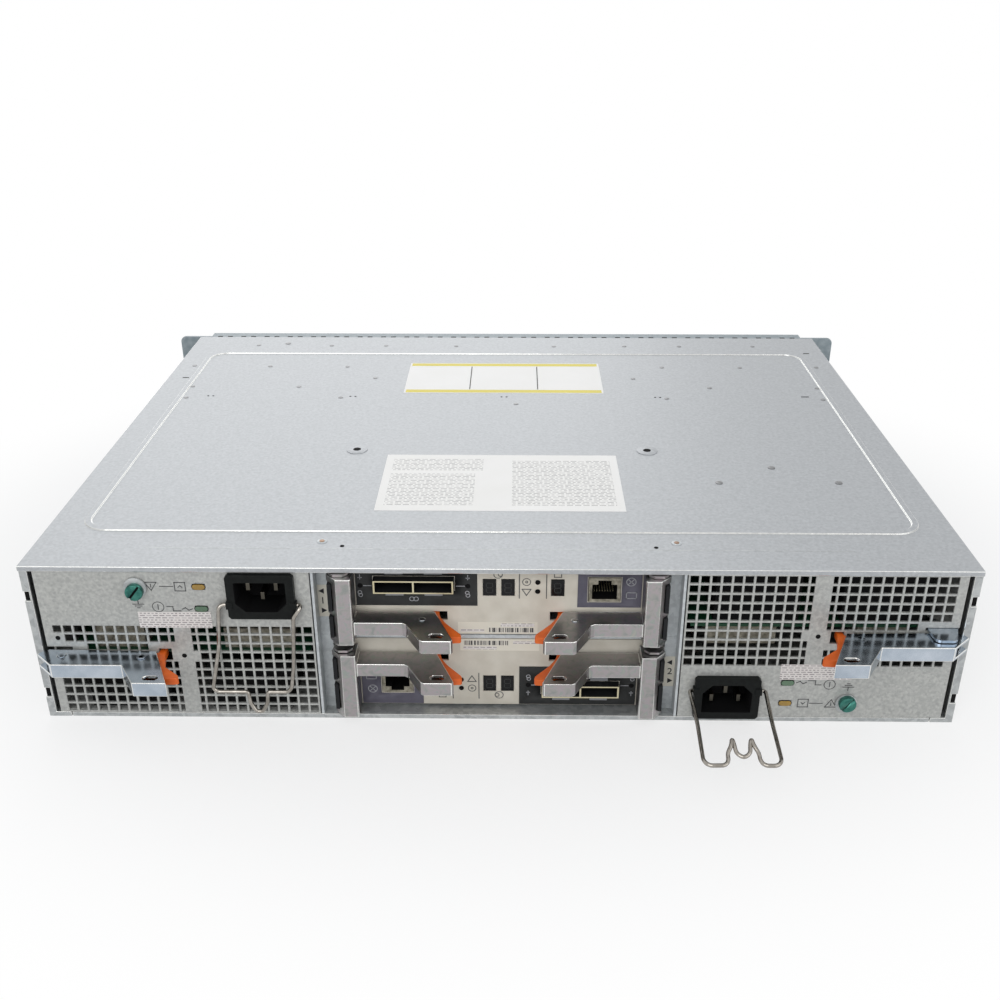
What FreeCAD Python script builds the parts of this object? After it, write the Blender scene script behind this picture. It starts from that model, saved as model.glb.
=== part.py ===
import FreeCAD, Part
import math
import os
import re

# Disk shelf enclosure, 2U: millimetres, +Z up, drives at -Y, power and link modules at +Y.
# The origin is the centre of the chassis floor. The modules at the rear come in pairs,
# and the second of each pair is the first turned half a turn about the Y axis.

V = FreeCAD.Vector
os.makedirs("parts", exist_ok=True)
doc = FreeCAD.newDocument("disk_shelf")
sheet = doc.addObject("Spreadsheet::Sheet", "Dim")

DIMS = {
    # chassis
    "half_w": 223.75, "high": 86.4, "front_y": -169.0, "rear_y": 169.0, "gauge": 1.2,
    "floor_half": 212.2, "corner_x": 212.6, "flange_in": 219.9, "hem_z": 2.6,
    "cover_z": 85.2, "lip_z": 83.8, "lip_y": 170.2, "roof_in": 216.0,
    "bead_h": 0.6, "bead_w": 3.2, "bead_x": 208.0, "bead_y0": -134.5, "bead_y1": 134.5,
    "bead_r": 14.0,
    "notch_lo0": 11.6, "notch_lo1": 17.0, "notch_hi0": 66.9, "notch_hi1": 72.0,
    # front frame and ears
    "trim_y": -180.0, "trim_half": 216.4, "ear_out": 238.9, "ear_t": 2.0, "ear_r": 4.0,
    "mid_z": 43.2, "rack_x": 232.55, "rack_z": 22.225, "rack_r": 3.4,
    "bay_z0": 4.0, "bay_z1": 82.4, "guide_y": -66.0, "rib_w": 1.2, "rib_h": 2.4,
    # drives
    "pitch": 17.2, "drive_w": 15.0, "drive_back": -66.5,
    "face_w": 16.5, "face_y": -168.0, "face_front": -176.0, "grip_front": -179.2,
    # middle wall board
    "board_y0": -58.0, "board_y1": -55.6, "board_half": 218.0, "board_z0": 3.6,
    "board_z1": 82.8, "plug_y": -62.5,
    # bay frame
    "wall_x": 86.4, "post_in": 80.8, "recess": 8.5, "shelf_z0": 42.4, "shelf_z1": 44.0,
    "wall_front": -54.0,
    # power module
    "psu_x0": 88.2, "psu_x1": 217.6, "psu_z0": 2.8, "psu_z1": 83.6, "psu_front": -30.0,
    "skin": 1.0, "cell": 5.08, "hole": 4.06, "row0": 51.4, "rows": 10.0, "cols": 12.0,
    "left_col": 211.3, "right_col": 146.9, "inlet_x": 111.2, "inlet_z": 71.2,
    "inlet_w": 31.8, "inlet_h": 23.6, "inlet_out": 3.0, "cav_w": 24.0, "cav_h": 15.8,
    "cav_d": 16.0, "pin_r": 2.0, "bore_r": 2.06, "rivet_r": 1.5, "rivet_bore": 1.56,
    "bail_r": 1.0, "bail_bore": 1.1,
    "lev_x": 208.5, "lev_y": 175.3, "lev_z0": 33.2, "lev_z1": 40.6, "lev_t": 1.2,
    "catch_x": 169.9, "catch_y": 176.4,
    # link card
    "card_half": 80.2, "card_z0": 44.6, "card_z1": 83.5, "card_front": -44.0,
    "cage_x0": 21.3, "cage_x1": 59.3, "cage_z0": 69.5, "cage_z1": 76.4, "cage_out": 164.8,
    "jack_x0": 42.8, "jack_x1": 57.9, "jack_z0": 63.5, "jack_z1": 76.4,
    "post_x": 74.5, "post_y": 167.0, "lug_r": 4.6, "post_z0": 46.3, "post_z1": 82.1,
    "arm_z0": 51.4, "arm_z1": 58.4, "clip_x": 36.1, "clip_y": 169.7,
}
for row, (alias, number) in enumerate(DIMS.items(), start=1):
    sheet.set("A%d" % row, alias)
    sheet.set("B%d" % row, str(number))
    sheet.setAlias("B%d" % row, alias)
doc.recompute()
D = {alias: float(sheet.get(alias)) for alias in DIMS}
SLOTS = 25


def bind(text):
    """An expression with every sheet name given its sheet."""
    return re.sub(r"[a-z]\w*", lambda m: "Dim." + m.group(0), str(text))


def blk(name, x0, x1, y0, y1, z0, z1):
    """A box between two corners, every number an expression on the sheet."""
    box = doc.addObject("Part::Box", name)
    for axis, size, low, high in (("x", "Length", x0, x1), ("y", "Width", y0, y1),
                                  ("z", "Height", z0, z1)):
        box.setExpression(size, "(%s) - (%s)" % (bind(high), bind(low)))
        box.setExpression("Placement.Base." + axis, bind(low))
    return box


def rod(name, axis, at, start, end, radius):
    """A cylinder along x, y or z from start to end, about the point at."""
    cyl = doc.addObject("Part::Cylinder", name)
    turn = {"x": FreeCAD.Rotation(V(0, 1, 0), 90), "y": FreeCAD.Rotation(V(1, 0, 0), -90),
            "z": FreeCAD.Rotation()}[axis]
    cyl.Placement = FreeCAD.Placement(V(0, 0, 0), turn)
    cyl.setExpression("Radius", bind(radius))
    cyl.setExpression("Height", "(%s) - (%s)" % (bind(end), bind(start)))
    others = [name_ for name_ in "xyz" if name_ != axis]
    cyl.setExpression("Placement.Base." + axis, bind(start))
    for key, place in zip(others, at):
        cyl.setExpression("Placement.Base." + key, bind(place))
    return cyl


def loop(points):
    """Closed line segments through the points, for a sketch."""
    ends = points[1:] + points[:1]
    return [Part.LineSegment(V(a[0], a[1], 0), V(b[0], b[1], 0)) for a, b in zip(points, ends)]


def rounded(points, radius):
    """Closed segments with every corner rounded."""
    out = []
    count = len(points)
    cuts = []
    for i in range(count):
        p = V(points[i][0], points[i][1], 0)
        a = V(points[i - 1][0], points[i - 1][1], 0)
        b = V(points[(i + 1) % count][0], points[(i + 1) % count][1], 0)
        r = radius[i] if isinstance(radius, (list, tuple)) else radius
        ua = (a - p).normalize()
        ub = (b - p).normalize()
        half = math.acos(max(-1.0, min(1.0, ua.dot(ub)))) / 2
        back = r / math.tan(half)
        centre = p + (ua + ub).normalize() * (r / math.sin(half))
        mid = centre + (p - centre).normalize() * r if r > 0.01 else p
        cuts.append((p + ua * back, mid, p + ub * back, r))
    for i in range(count):
        first, mid, last, r = cuts[i]
        if r > 0.01:
            out.append(Part.Arc(first, mid, last))
        nxt = cuts[(i + 1) % count][0]
        if last.distanceToPoint(nxt) > 1e-4:
            out.append(Part.LineSegment(last, nxt))
    return out


def clipped(x0, x1, y0, y1, size):
    """A rectangle with its corners cut off, for a sketch."""
    return loop([(x0 + size, y0), (x1 - size, y0), (x1, y0 + size), (x1, y1 - size),
                 (x1 - size, y1), (x0 + size, y1), (x0, y1 - size), (x0, y0 + size)])


def pad(name, shapes, low, high, face="XY"):
    """A body with one sketch of closed loops, padded between two levels.

    XY: points are (x, y) and the levels are z. XZ: points are (x, z) and the levels are y.
    """
    body = doc.addObject("PartDesign::Body", name)
    sketch = body.newObject("Sketcher::SketchObject", name + "_sketch")
    planes = [item for item in body.Origin.OriginFeatures if "XY_Plane" in item.Name]
    sketch.AttachmentSupport = [(planes[0], "")]
    sketch.MapMode = "FlatFace"
    sketch.addGeometry([seg for shape in shapes for seg in shape], False)
    solid = body.newObject("PartDesign::Pad", name + "_pad")
    solid.Profile = sketch
    solid.setExpression("Length", "(%s) - (%s)" % (bind(high), bind(low)))
    body.Tip = solid
    if face == "XZ":
        body.Placement = FreeCAD.Placement(V(0, 0, 0), FreeCAD.Rotation(V(1, 0, 0), 90))
        body.setExpression("Placement.Base.y", bind(high))
    else:
        body.setExpression("Placement.Base.z", bind(low))
    return body


def cut(name, base, tools):
    """Base less every tool."""
    tool = tools[0]
    if len(tools) > 1:
        tool = doc.addObject("Part::MultiFuse", name + "_tool")
        tool.Shapes = tools
    out = doc.addObject("Part::Cut", name)
    out.Base = base
    out.Tool = tool
    return out


def fuse(name, shapes):
    """All the shapes as one solid."""
    out = doc.addObject("Part::MultiFuse", name)
    out.Shapes = shapes
    out.Refine = True
    return out


def group(name, shapes):
    """Several solids in one node."""
    out = doc.addObject("Part::Compound", name)
    out.Links = shapes
    return out


NODES = []


def node(label, source):
    """Name a finished piece."""
    source.Label = label
    NODES.append(source)
    return source


def twin(label, source):
    """The same piece turned half a turn about the Y axis at the middle height."""
    out = group(label, [source])
    out.Placement = FreeCAD.Placement(V(0, 0, 2 * D["mid_z"]), FreeCAD.Rotation(V(0, 1, 0), 180))
    return node(label, out)


# ---------------------------------------------------------------- chassis sheet metal
def chassis():
    floor = blk("floor", "-floor_half", "floor_half", "front_y + 1", "rear_y - 0.4", 0, "gauge")
    hem = blk("hem", "-floor_half", "floor_half", "rear_y - 2.6", "rear_y", 0, "hem_z")
    node("base_pan", fuse("base_pan", [floor, hem]))

    for side, name in ((1, "side_panel_right"), (-1, "side_panel_left")):
        def span(a, b):
            return (a, b) if side > 0 else ("-(%s)" % b, "-(%s)" % a)
        pieces = []
        for tag, xs, ys, zs in (
                ("web", span("half_w - gauge", "half_w"), ("front_y", "rear_y"), (0, "cover_z")),
                ("foot", span("corner_x", "half_w"), ("front_y + 1", "rear_y"), (0, "gauge")),
                ("roof", span("roof_in", "half_w"), ("front_y + 1", "rear_y"),
                 ("cover_z - gauge", "cover_z")),
                ("flange", span("flange_in", "half_w"), ("rear_y - gauge", "rear_y"),
                 (0, "cover_z")),
                ("toe", span("corner_x", "flange_in"), ("rear_y - 2.6", "rear_y"), (0, "hem_z"))):
            pieces.append(blk(name + "_" + tag, xs[0], xs[1], ys[0], ys[1], zs[0], zs[1]))
        gaps = []
        for tag in ("lo", "hi"):
            xs = span("flange_in + 0.9", "half_w + 1")
            gaps.append(blk(name + "_gap_" + tag, xs[0], xs[1], "rear_y - 2.4", "rear_y + 1",
                            "notch_%s0" % tag, "notch_%s1" % tag))
        node(name, cut(name, fuse(name + "_sheet", pieces), gaps))

    top = blk("cover_sheet", "-half_w", "half_w", "front_y", "rear_y", "cover_z", "high")
    lip = blk("cover_lip", "-half_w", "half_w", "rear_y", "lip_y", "lip_z", "high")
    x, y0, y1, w = D["bead_x"], D["bead_y0"], D["bead_y1"], D["bead_w"]
    outer = rounded([(-x, y0), (x, y0), (x, y1), (-x, y1)], D["bead_r"])
    inner = rounded([(-x + w, y0 + w), (x - w, y0 + w), (x - w, y1 - w), (-x + w, y1 - w)],
                    D["bead_r"] - w)
    bead = pad("cover_bead", [outer, inner], "high - 0.2", "high + bead_h")
    node("top_cover", fuse("top_cover", [top, lip, bead]))


# ---------------------------------------------------------------- front frame, ears, guides
def front():
    ring = blk("trim_ring", "-trim_half", "trim_half", "trim_y", "front_y", "0.6", "high - 0.6")
    bay = blk("trim_bay", "-(12.5 * pitch + 0.3)", "12.5 * pitch + 0.3", "trim_y - 1",
              "front_y + 1", "bay_z0", "bay_z1")
    trim = cut("front_trim", ring, [bay])
    ears = []
    for side in (-1, 1):
        x0 = D["trim_half"] - 1.0
        x1 = D["ear_out"]
        z1 = D["high"]
        r = D["ear_r"]
        corners = [(side * x0, 0.6), (side * x1, 0.6), (side * x1, z1), (side * x0, z1)]
        shapes = [rounded(corners, [0.0, r, r, 0.0])]
        for up in (-1, 1):
            z = D["mid_z"] + up * D["rack_z"]
            shapes.append([Part.Circle(V(side * D["rack_x"], z, 0), V(0, 0, 1), D["rack_r"])])
        ears.append(pad("ear_%d" % (side + 1), shapes, "front_y - ear_t", "front_y - 0.1", "XZ"))
    rails = []
    for tag, z0, z1, r0, r1 in (
            ("low", "bay_z0 - 1.2", "bay_z0", "bay_z0 - 0.2", "bay_z0 + rib_h"),
            ("high", "bay_z1", "bay_z1 + 1.2", "bay_z1 - rib_h", "bay_z1 + 0.2")):
        plate = blk("guide_" + tag, "-(trim_half - 0.6)", "trim_half - 0.6", "front_y - 0.2",
                    "guide_y", z0, z1)
        ribs = [plate]
        for slot in range(SLOTS + 1):
            at = "pitch * %s" % (slot - 12.5)
            ribs.append(blk("rib_%s_%d" % (tag, slot), at + " - rib_w / 2", at + " + rib_w / 2",
                            "front_y + 6", "guide_y", r0, r1))
        rails.append(fuse("guides_" + tag, ribs))
    node("front_frame", fuse("front_frame", [trim] + ears + rails))


# ---------------------------------------------------------------- board across the middle
def middle():
    board = blk("mid_sheet", "-board_half", "board_half", "board_y0", "board_y1", "board_z0",
                "board_z1")
    vents = []
    for slot in range(SLOTS + 1):
        at = "pitch * %s" % (slot - 12.5)
        if slot % 2 == 0:
            continue
        vents.append(blk("mid_vent_%d" % slot, at + " - 3.0", at + " + 3.0",
                         "board_y0 - 1", "board_y1 + 1", 34, 52))
    pieces = [cut("mid_board", board, vents)]
    for slot in range(SLOTS):
        at = "pitch * %d" % (slot - 12)
        pieces.append(blk("mid_plug_%d" % slot, at + " - 2.6", at + " + 2.6", "plug_y",
                          "board_y0", 24, 66))
    for name, x0, x1, z0, z1 in (("b_left", -66, -26, 62, 72), ("b_right", 26, 66, 62, 72),
                                 ("a_left", -66, -26, 14.4, 24.4),
                                 ("a_right", 26, 66, 14.4, 24.4),
                                 ("power_b", 120, 184, 54, 66),
                                 ("power_a", -184, -120, 20.4, 32.4)):
        depth = "board_y1 + 20" if name.startswith("power") else "board_y1 + 9"
        pieces.append(blk("mid_socket_" + name, x0, x1, "board_y1", depth, z0, z1))
    node("midplane", group("midplane", pieces))


# ---------------------------------------------------------------- walls and shelf at the rear
def bays():
    pieces = []
    for side in (-1, 1):
        def span(a, b):
            return (a, b) if side > 0 else ("-(%s)" % b, "-(%s)" % a)
        wall = span("wall_x", "wall_x + gauge")
        post = span("post_in", "wall_x + gauge")
        foot = span("wall_x - 8", "wall_x + gauge")
        pieces.append(blk("wall_%d" % side, wall[0], wall[1], "wall_front", "rear_y - 0.2",
                          "gauge", "cover_z"))
        pieces.append(blk("post_%d" % side, post[0], post[1], "rear_y - recess - gauge",
                          "rear_y - recess", "gauge", "cover_z"))
        pieces.append(blk("foot_%d" % side, foot[0], foot[1], "wall_front",
                          "rear_y - recess - gauge - 4", "gauge", "gauge + 0.9"))
    pieces.append(blk("shelf", "-(wall_x + 0.6)", "wall_x + 0.6", "wall_front + 4",
                      "rear_y - recess + 0.2", "shelf_z0 + 0.2", "shelf_z1 - 0.2"))
    pieces.append(blk("shelf_hem", "-(post_in + 0.4)", "post_in + 0.4", "rear_y - recess - 2.6",
                      "rear_y - recess + 0.2", "shelf_z0 - 0.1", "shelf_z1 + 0.1"))
    hem = [blk("hem_gap_%d" % side, "%s" % (87 * side - 2), "%s" % (87 * side + 2),
               "rear_y - 2.8", "rear_y", "0", "hem_z + 0.1") for side in (-1, 1)]
    node("bay_frame", cut("bay_frame", fuse("bay_sheet", pieces), hem))


# ---------------------------------------------------------------- one drive in its carrier
def drives():
    body = blk("sled", "-drive_w / 2", "drive_w / 2", "face_y + 0.2", "drive_back",
               "bay_z0 + 0.6", "bay_z1 - 0.6")
    face = blk("face_block", "-face_w / 2", "face_w / 2", "face_front", "face_y",
               "bay_z0 + 0.6", "bay_z1 - 0.6")
    grille = blk("face_hollow", "-face_w / 2 + 1.6", "face_w / 2 - 1.6", "face_front - 1",
                 "face_y - 1.2", "bay_z0 + 14", "bay_z1 - 20")
    carrier = cut("face", face, [grille])
    grip = blk("grip", "-face_w / 2 + 1.4", "face_w / 2 - 1.4", "grip_front", "face_front - 0.1",
               "bay_z0 + 4", "bay_z0 + 10")
    bar = blk("grip_bar", "-2.4", "2.4", "grip_front", "grip_front + 2",
              "bay_z0 + 9.9", "bay_z1 - 8")
    hook = blk("grip_hook", "-3.4", "3.4", "grip_front", "face_front - 0.1", "bay_z1 - 14",
               "bay_z1 - 7.9")
    handle = fuse("handle", [grip, bar, hook])
    for slot in range(SLOTS):
        one = group("drive_%02d" % (slot + 1), [body, carrier, handle])
        one.setExpression("Placement.Base.x", bind("pitch * %d" % (slot - 12)))
        node("drive_%02d" % (slot + 1), one)


# ---------------------------------------------------------------- power module
def psu_plate_bands():
    """The rear plate in bands: one blank band above and one perforated band for each row."""
    x0, x1, z0, z1 = D["psu_x0"], D["psu_x1"], D["psu_z0"], D["psu_z1"]
    cell, half = D["cell"], D["hole"] / 2
    blanks = [(198.4, 217.6, 31.0, 43.0), (144.6, 164.4, 33.9, 38.4), (209.0, 217.6, 44.6, 48.0),
              (157.0, 164.4, 38.4, 43.0)]
    top = D["row0"] + cell / 2
    ix, iz = D["inlet_x"], D["inlet_z"]
    shapes = [loop([(x0, top), (x1, top), (x1, z1), (x0, z1)]),
              loop([(ix - 14, iz - 10), (ix + 14, iz - 10), (ix + 14, iz + 10),
                    (ix - 14, iz + 10)])]
    for z in (75.3, 63.3):
        shapes.append(loop([(137.2, z - 1.6), (143.4, z - 1.6), (143.4, z + 1.6),
                            (137.2, z + 1.6)]))
    bands = [pad("psu_band_top", shapes, "rear_y - skin", "rear_y", "XZ")]
    for rank in range(int(D["rows"])):
        z = D["row0"] - rank * cell
        low = z0 if rank == int(D["rows"]) - 1 else z - cell / 2
        shapes = [loop([(x0, low), (x1, low), (x1, z + cell / 2), (x0, z + cell / 2)])]
        for col in range(int(D["cols"])):
            for start, narrow in ((D["left_col"], 11), (D["right_col"], 0)):
                x = start - col * cell
                a, b = x - half, x + half
                if col == narrow and narrow:
                    a = x + half - 2.2
                if col == narrow and not narrow:
                    b = x - half + 2.2
                if any(b > p and a < q and z + half > r and z - half < t
                       for p, q, r, t in blanks):
                    continue
                shapes.append(loop([(a, z - half), (b, z - half), (b, z + half), (a, z + half)]))
        bands.append(pad("psu_band_%d" % rank, shapes, "rear_y - skin", "rear_y", "XZ"))
    return bands


def psu_rear_plate():
    """Perforated plate with the latch's square hole and the slots of the bracket and the cam."""
    whole = fuse("plate_whole", psu_plate_bands())
    whole.Refine = False
    return cut("psu_rear_plate", whole, [
        blk("plate_cam_slot", "lev_x - 3.1", "psu_x1 + 1", "rear_y - 2", "rear_y + 1",
            "lev_z0 - 0.8", "lev_z1 + 0.8"),
        blk("plate_bracket_slot", 201.8, "psu_x1 + 1", "rear_y - 2", "rear_y + 1",
            "lev_z0 - 2.0", "lev_z0 - 0.2"),
        blk("plate_latch_hole", 157.6, 163.9, "rear_y - 2", "rear_y + 1", 33.8, 40.6)])


def psu_case():
    """Folded tub, open at the rear, with the lever's bracket and pin standing out of it."""
    shell = blk("psu_block", "psu_x0", "psu_x1", "psu_front", "rear_y - skin", "psu_z0", "psu_z1")
    room = blk("psu_room", "psu_x0 + skin", "psu_x1 - skin", "psu_front + skin", "rear_y",
               "psu_z0 + skin", "psu_z1 - skin")
    window = blk("psu_window", "psu_x0 + 8", "psu_x1 - 8", "psu_front - 1", "psu_front + 2",
                 "psu_z0 + 8", "psu_z1 - 8")
    cam = blk("psu_cam_slot", "lev_x + 3.3", "psu_x1 + 1", "rear_y - 6.5", "rear_y + 1",
              "lev_z0 - 0.8", "lev_z1 + 0.8")
    tub = cut("psu_tub", shell, [room, window, cam])
    y = D["rear_y"]
    tongue = rounded([(217.0, y - 12), (206.0, y - 12), (202.4, y - 1.2), (203.6, y + 10.6),
                      (213.4, y + 10.6), (217.0, y - 0.2)], [0.0, 2.0, 0.0, 3.0, 3.0, 0.0])
    bracket = pad("psu_bracket", [tongue], "lev_z0 - 1.8", "lev_z0 - 0.4")
    pin = rod("psu_pin", "z", ("lev_x", "lev_y"), "lev_z0 - 1.2", "lev_z1 + 0.3", "pin_r")
    return fuse("psu_case", [tub, bracket, pin])


def psu_inlet():
    """Appliance inlet: flange, body and cavity, and three blades standing in it."""
    x, z = D["inlet_x"], D["inlet_z"]
    w, h = D["inlet_w"] / 2, D["inlet_h"] / 2
    flange = pad("inlet_flange", [clipped(x - w, x + w, z - h, z + h, 1.2)],
                 "rear_y + 0.05", "rear_y + inlet_out", "XZ")
    body = blk("inlet_body", "inlet_x - 13.7", "inlet_x + 13.7", "rear_y - 22", "rear_y + 0.2",
               "inlet_z - 9.7", "inlet_z + 9.7")
    cw, ch = D["cav_w"] / 2, D["cav_h"] / 2
    mouth = pad("inlet_mouth", [loop([(x - cw, z + ch), (x - cw, z - ch + 4.6),
                                      (x - cw + 4.6, z - ch), (x + cw - 4.6, z - ch),
                                      (x + cw, z - ch + 4.6), (x + cw, z + ch)])],
                "rear_y + inlet_out - cav_d", "rear_y + inlet_out + 1", "XZ")
    lugs = [blk("inlet_lug_%d" % s, "inlet_x + %s" % (15.0 * s - 1.6),
                "inlet_x + %s" % (15.0 * s + 1.6), "rear_y + 0.05", "rear_y + inlet_out + 0.6",
                "inlet_z - 6.2", "inlet_z - 2.6") for s in (-1, 1)]
    holes = [rod("inlet_eye_%d" % s, "x", ("rear_y + 1.85", "inlet_z - 4.4"),
                 "inlet_x + %s" % (16.9 * s - 3.4), "inlet_x + %s" % (16.9 * s + 3.4), "bail_bore")
             for s in (-1, 1)]
    shell = cut("inlet_shell", fuse("inlet_solid", [flange, body] + lugs), [mouth] + holes)
    blades = []
    for tag, dx, dz, bw, bh in (("line", 6.6, 2.9, 1.9, 4.0), ("earth", 0.0, -2.0, 1.9, 4.0),
                                ("neutral", -6.6, 2.9, 1.9, 4.0)):
        blades.append(blk("blade_" + tag, "inlet_x + %s" % (dx - bw / 2),
                          "inlet_x + %s" % (dx + bw / 2), "rear_y + inlet_out - cav_d",
                          "rear_y + inlet_out - 5.2", "inlet_z + %s" % (dz - bh / 2),
                          "inlet_z + %s" % (dz + bh / 2)))
    return group("psu_inlet", [shell] + blades)


def wire(name, points, radius):
    """A wire of eight-sided section along straight runs, mitred at each bend."""
    path = Part.makePolygon([V(*p) for p in points])
    start, along = V(*points[0]), (V(*points[1]) - V(*points[0])).normalize()
    side = along.cross(V(0, 1, 0)).normalize()
    other = along.cross(side)
    ring = []
    for i in range(9):
        turn = math.pi * (i + 0.5) / 4
        ring.append(start + (side * math.cos(turn) + other * math.sin(turn)) * radius)
    out = doc.addObject("Part::Feature", name)
    out.Shape = path.makePipeShell([Part.makePolygon(ring)], True, False, 1)
    return out


def psu_bail(kind):
    """Cord bail: eyes in the inlet lugs, two legs, and a bar with a hump in its middle."""
    x, z = D["inlet_x"], D["inlet_z"] - 4.4
    y = D["rear_y"] + 1.85
    if kind == "b":
        mid = [(x + 20.2, y + 1.0, z - 1), (x + 22.2, y + 2.0, z - 23),
               (x + 27.4, y + 2.6, z - 46), (x + 25.4, y + 2.6, z - 48),
               (x + 10.6, y + 2.6, z - 48), (x + 9.8, y + 3.0, z - 54.4),
               (x + 7.4, y + 3.2, z - 59.2), (x + 4.2, y + 3.2, z - 59.2),
               (x + 1.6, y + 3.0, z - 54.4), (x + 1.0, y + 2.6, z - 48),
               (x - 8.8, y + 2.6, z - 48), (x - 10.9, y + 2.6, z - 45.6),
               (x - 12.9, y + 2.8, z - 33), (x - 15.2, y + 3.4, z - 5),
               (x - 18.4, y + 2.4, z - 0.6)]
    else:
        mid = [(x + 17.2, y + 24, z + 1.8), (x + 16.8, y + 47.6, z + 3.9),
               (x + 14.6, y + 50.4, z + 4.2), (x + 8.2, y + 50.6, z + 4.2),
               (x + 6.4, y + 42.0, z + 1.6), (x + 4.2, y + 37.6, z + 0.2),
               (x + 1.4, y + 42.6, z + 2.6), (x - 1.4, y + 42.6, z + 2.6),
               (x - 4.2, y + 37.6, z + 0.2), (x - 6.4, y + 42.0, z + 1.6),
               (x - 8.2, y + 50.6, z + 4.2), (x - 16.2, y + 50.6, z + 4.2),
               (x - 18.4, y + 47.8, z + 3.9), (x - 17.8, y + 24, z + 1.8)]
    ends = [(x + 14.2, y, z), (x + 18.4, y, z)], [(x - 18.4, y, z), (x - 14.2, y, z)]
    return wire("bail_wire_" + kind, ends[0] + mid + ends[1], D["bail_r"])


def psu_lever():
    """Pressed channel lever: front web, two flanges, hook outside and finger tab inside."""
    y = D["rear_y"]
    plan = [(211.4, y + 14.3), (177.4, y + 14.3), (168.4, y + 28.4), (152.4, y + 28.4),
            (164.4, y + 2.2), (203.0, y + 1.4), (211.0, y + 1.4), (216.4, y + 1.2),
            (219.6, y + 3.4), (220.6, y + 5.6)]
    block = pad("lever_block", [loop(plan)], "lev_z0", "lev_z1")
    t = D["lev_t"]
    room = pad("lever_room", [loop([(226.0, y + 14.3 - t), (178.1, y + 14.3 - t),
                                    (169.1, y + 28.4 - t), (146.0, y + 28.4 - t),
                                    (146.0, y - 2.0), (226.0, y - 2.0)])],
               "lev_z0 + lev_t", "lev_z1 - lev_t")
    bore = rod("lever_bore", "z", ("lev_x", "lev_y"), "lev_z0 - 1", "lev_z1 + 1", "bore_r")
    oval = pad("lever_oval", [clipped(157.4, 164.4, y + 22.6, y + 25.8, 1.1)],
               "lev_z0 - 1", "lev_z1 + 1")
    shell = cut("lever_shell", block, [room, bore, oval])
    rivet = rod("lever_rivet", "z", ("catch_x", "catch_y"), "lev_z0 + 0.2", "lev_z1 + 0.5",
                "rivet_r")
    return fuse("psu_lever", [shell, rivet])


def psu_latch():
    """Plastic latch on the lever's rivet: nose in the square hole, thumb piece inside."""
    y = D["rear_y"]
    plan = [(172.8, y + 10.2), (167.2, y + 11.4), (161.0, y + 15.4), (155.6, y + 22.2),
            (149.4, y + 21.8), (148.9, y + 20.8), (149.7, y + 19.2), (157.4, y + 12.6),
            (159.4, y + 6.2), (160.4, y + 1.0), (160.4, y - 3.4), (163.4, y - 3.4),
            (163.8, y + 0.8), (168.8, y + 4.2), (172.8, y + 4.4)]
    strap = pad("latch_strap", [loop(plan)], "lev_z0 + 2.0", "lev_z1 - 1.8")
    bore = rod("latch_bore", "z", ("catch_x", "catch_y"), "lev_z0", "lev_z1", "rivet_bore")
    return cut("psu_latch", strap, [bore])


def prism(name, x, y, radius, low, high):
    """An eight-sided block."""
    points = [(x + radius * math.cos(math.pi * (i + 0.5) / 4),
               y + radius * math.sin(math.pi * (i + 0.5) / 4)) for i in range(8)]
    return pad(name, [loop(points)], low, high)


def psu_inside():
    """Board, transformer, heat sinks, capacitors, two blowers and the light pipes."""
    y = D["rear_y"]
    pieces = [
        blk("ps_board", "psu_x0 + 4", 209, "psu_front + 20", "rear_y - 7", 34, 35.6),
        blk("ps_core", 150, 184, 70, 100, 35.6, 64),
        blk("ps_sink_a", 96, 101, 30, 120, 35.6, 68),
        blk("ps_sink_b", 196, 201, 30, 120, 35.6, 68),
        blk("ps_filter", 110, 142, 104, 128, 35.6, 60),
        blk("ps_plug", 124, 180, "psu_front + 3", "psu_front + 22", 35.6, 58),
        blk("ps_block_a", 101, 134, "rear_y - 22", "rear_y - 9", 35.6, 46.5),
        blk("ps_block_b", 173, 197, "rear_y - 20", "rear_y - 9", 35.6, 47.5),
        blk("ps_light_a", 137.6, 143.0, "rear_y - 12", "rear_y + 0.3", 61.9, 64.7),
        blk("ps_light_b", 137.6, 143.0, "rear_y - 12", "rear_y + 0.3", 73.9, 76.7),
        prism("ps_can_a", 112, 60, 8.5, 35.6, 66),
        prism("ps_can_b", 132, 60, 8.5, 35.6, 66),
    ]
    for i, x in enumerate((122, 182)):
        box = blk("blower_box_%d" % i, x - 20, x + 20, "rear_y - 30", "rear_y - 3", 4.6, 30)
        eye = prism("blower_eye_%d" % i, x, y - 16.5, 9.0, 6, 40)
        hub = prism("blower_hub_%d" % i, x, y - 16.5, 5.4, 4.8, 27)
        pieces.append(fuse("blower_%d" % i, [cut("blower_shell_%d" % i, box, [eye]), hub]))
    return group("psu_inside", pieces)


def power_modules():
    for label, piece in (("case", psu_case()), ("rear_plate", psu_rear_plate()),
                         ("inlet", psu_inlet()), ("lever", psu_lever()),
                         ("latch", psu_latch()), ("internals", psu_inside())):
        node("psu_b_" + label, piece)
        twin("psu_a_" + label, piece)
    node("psu_b_bail", psu_bail("b"))
    twin("psu_a_bail", psu_bail("a"))


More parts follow.
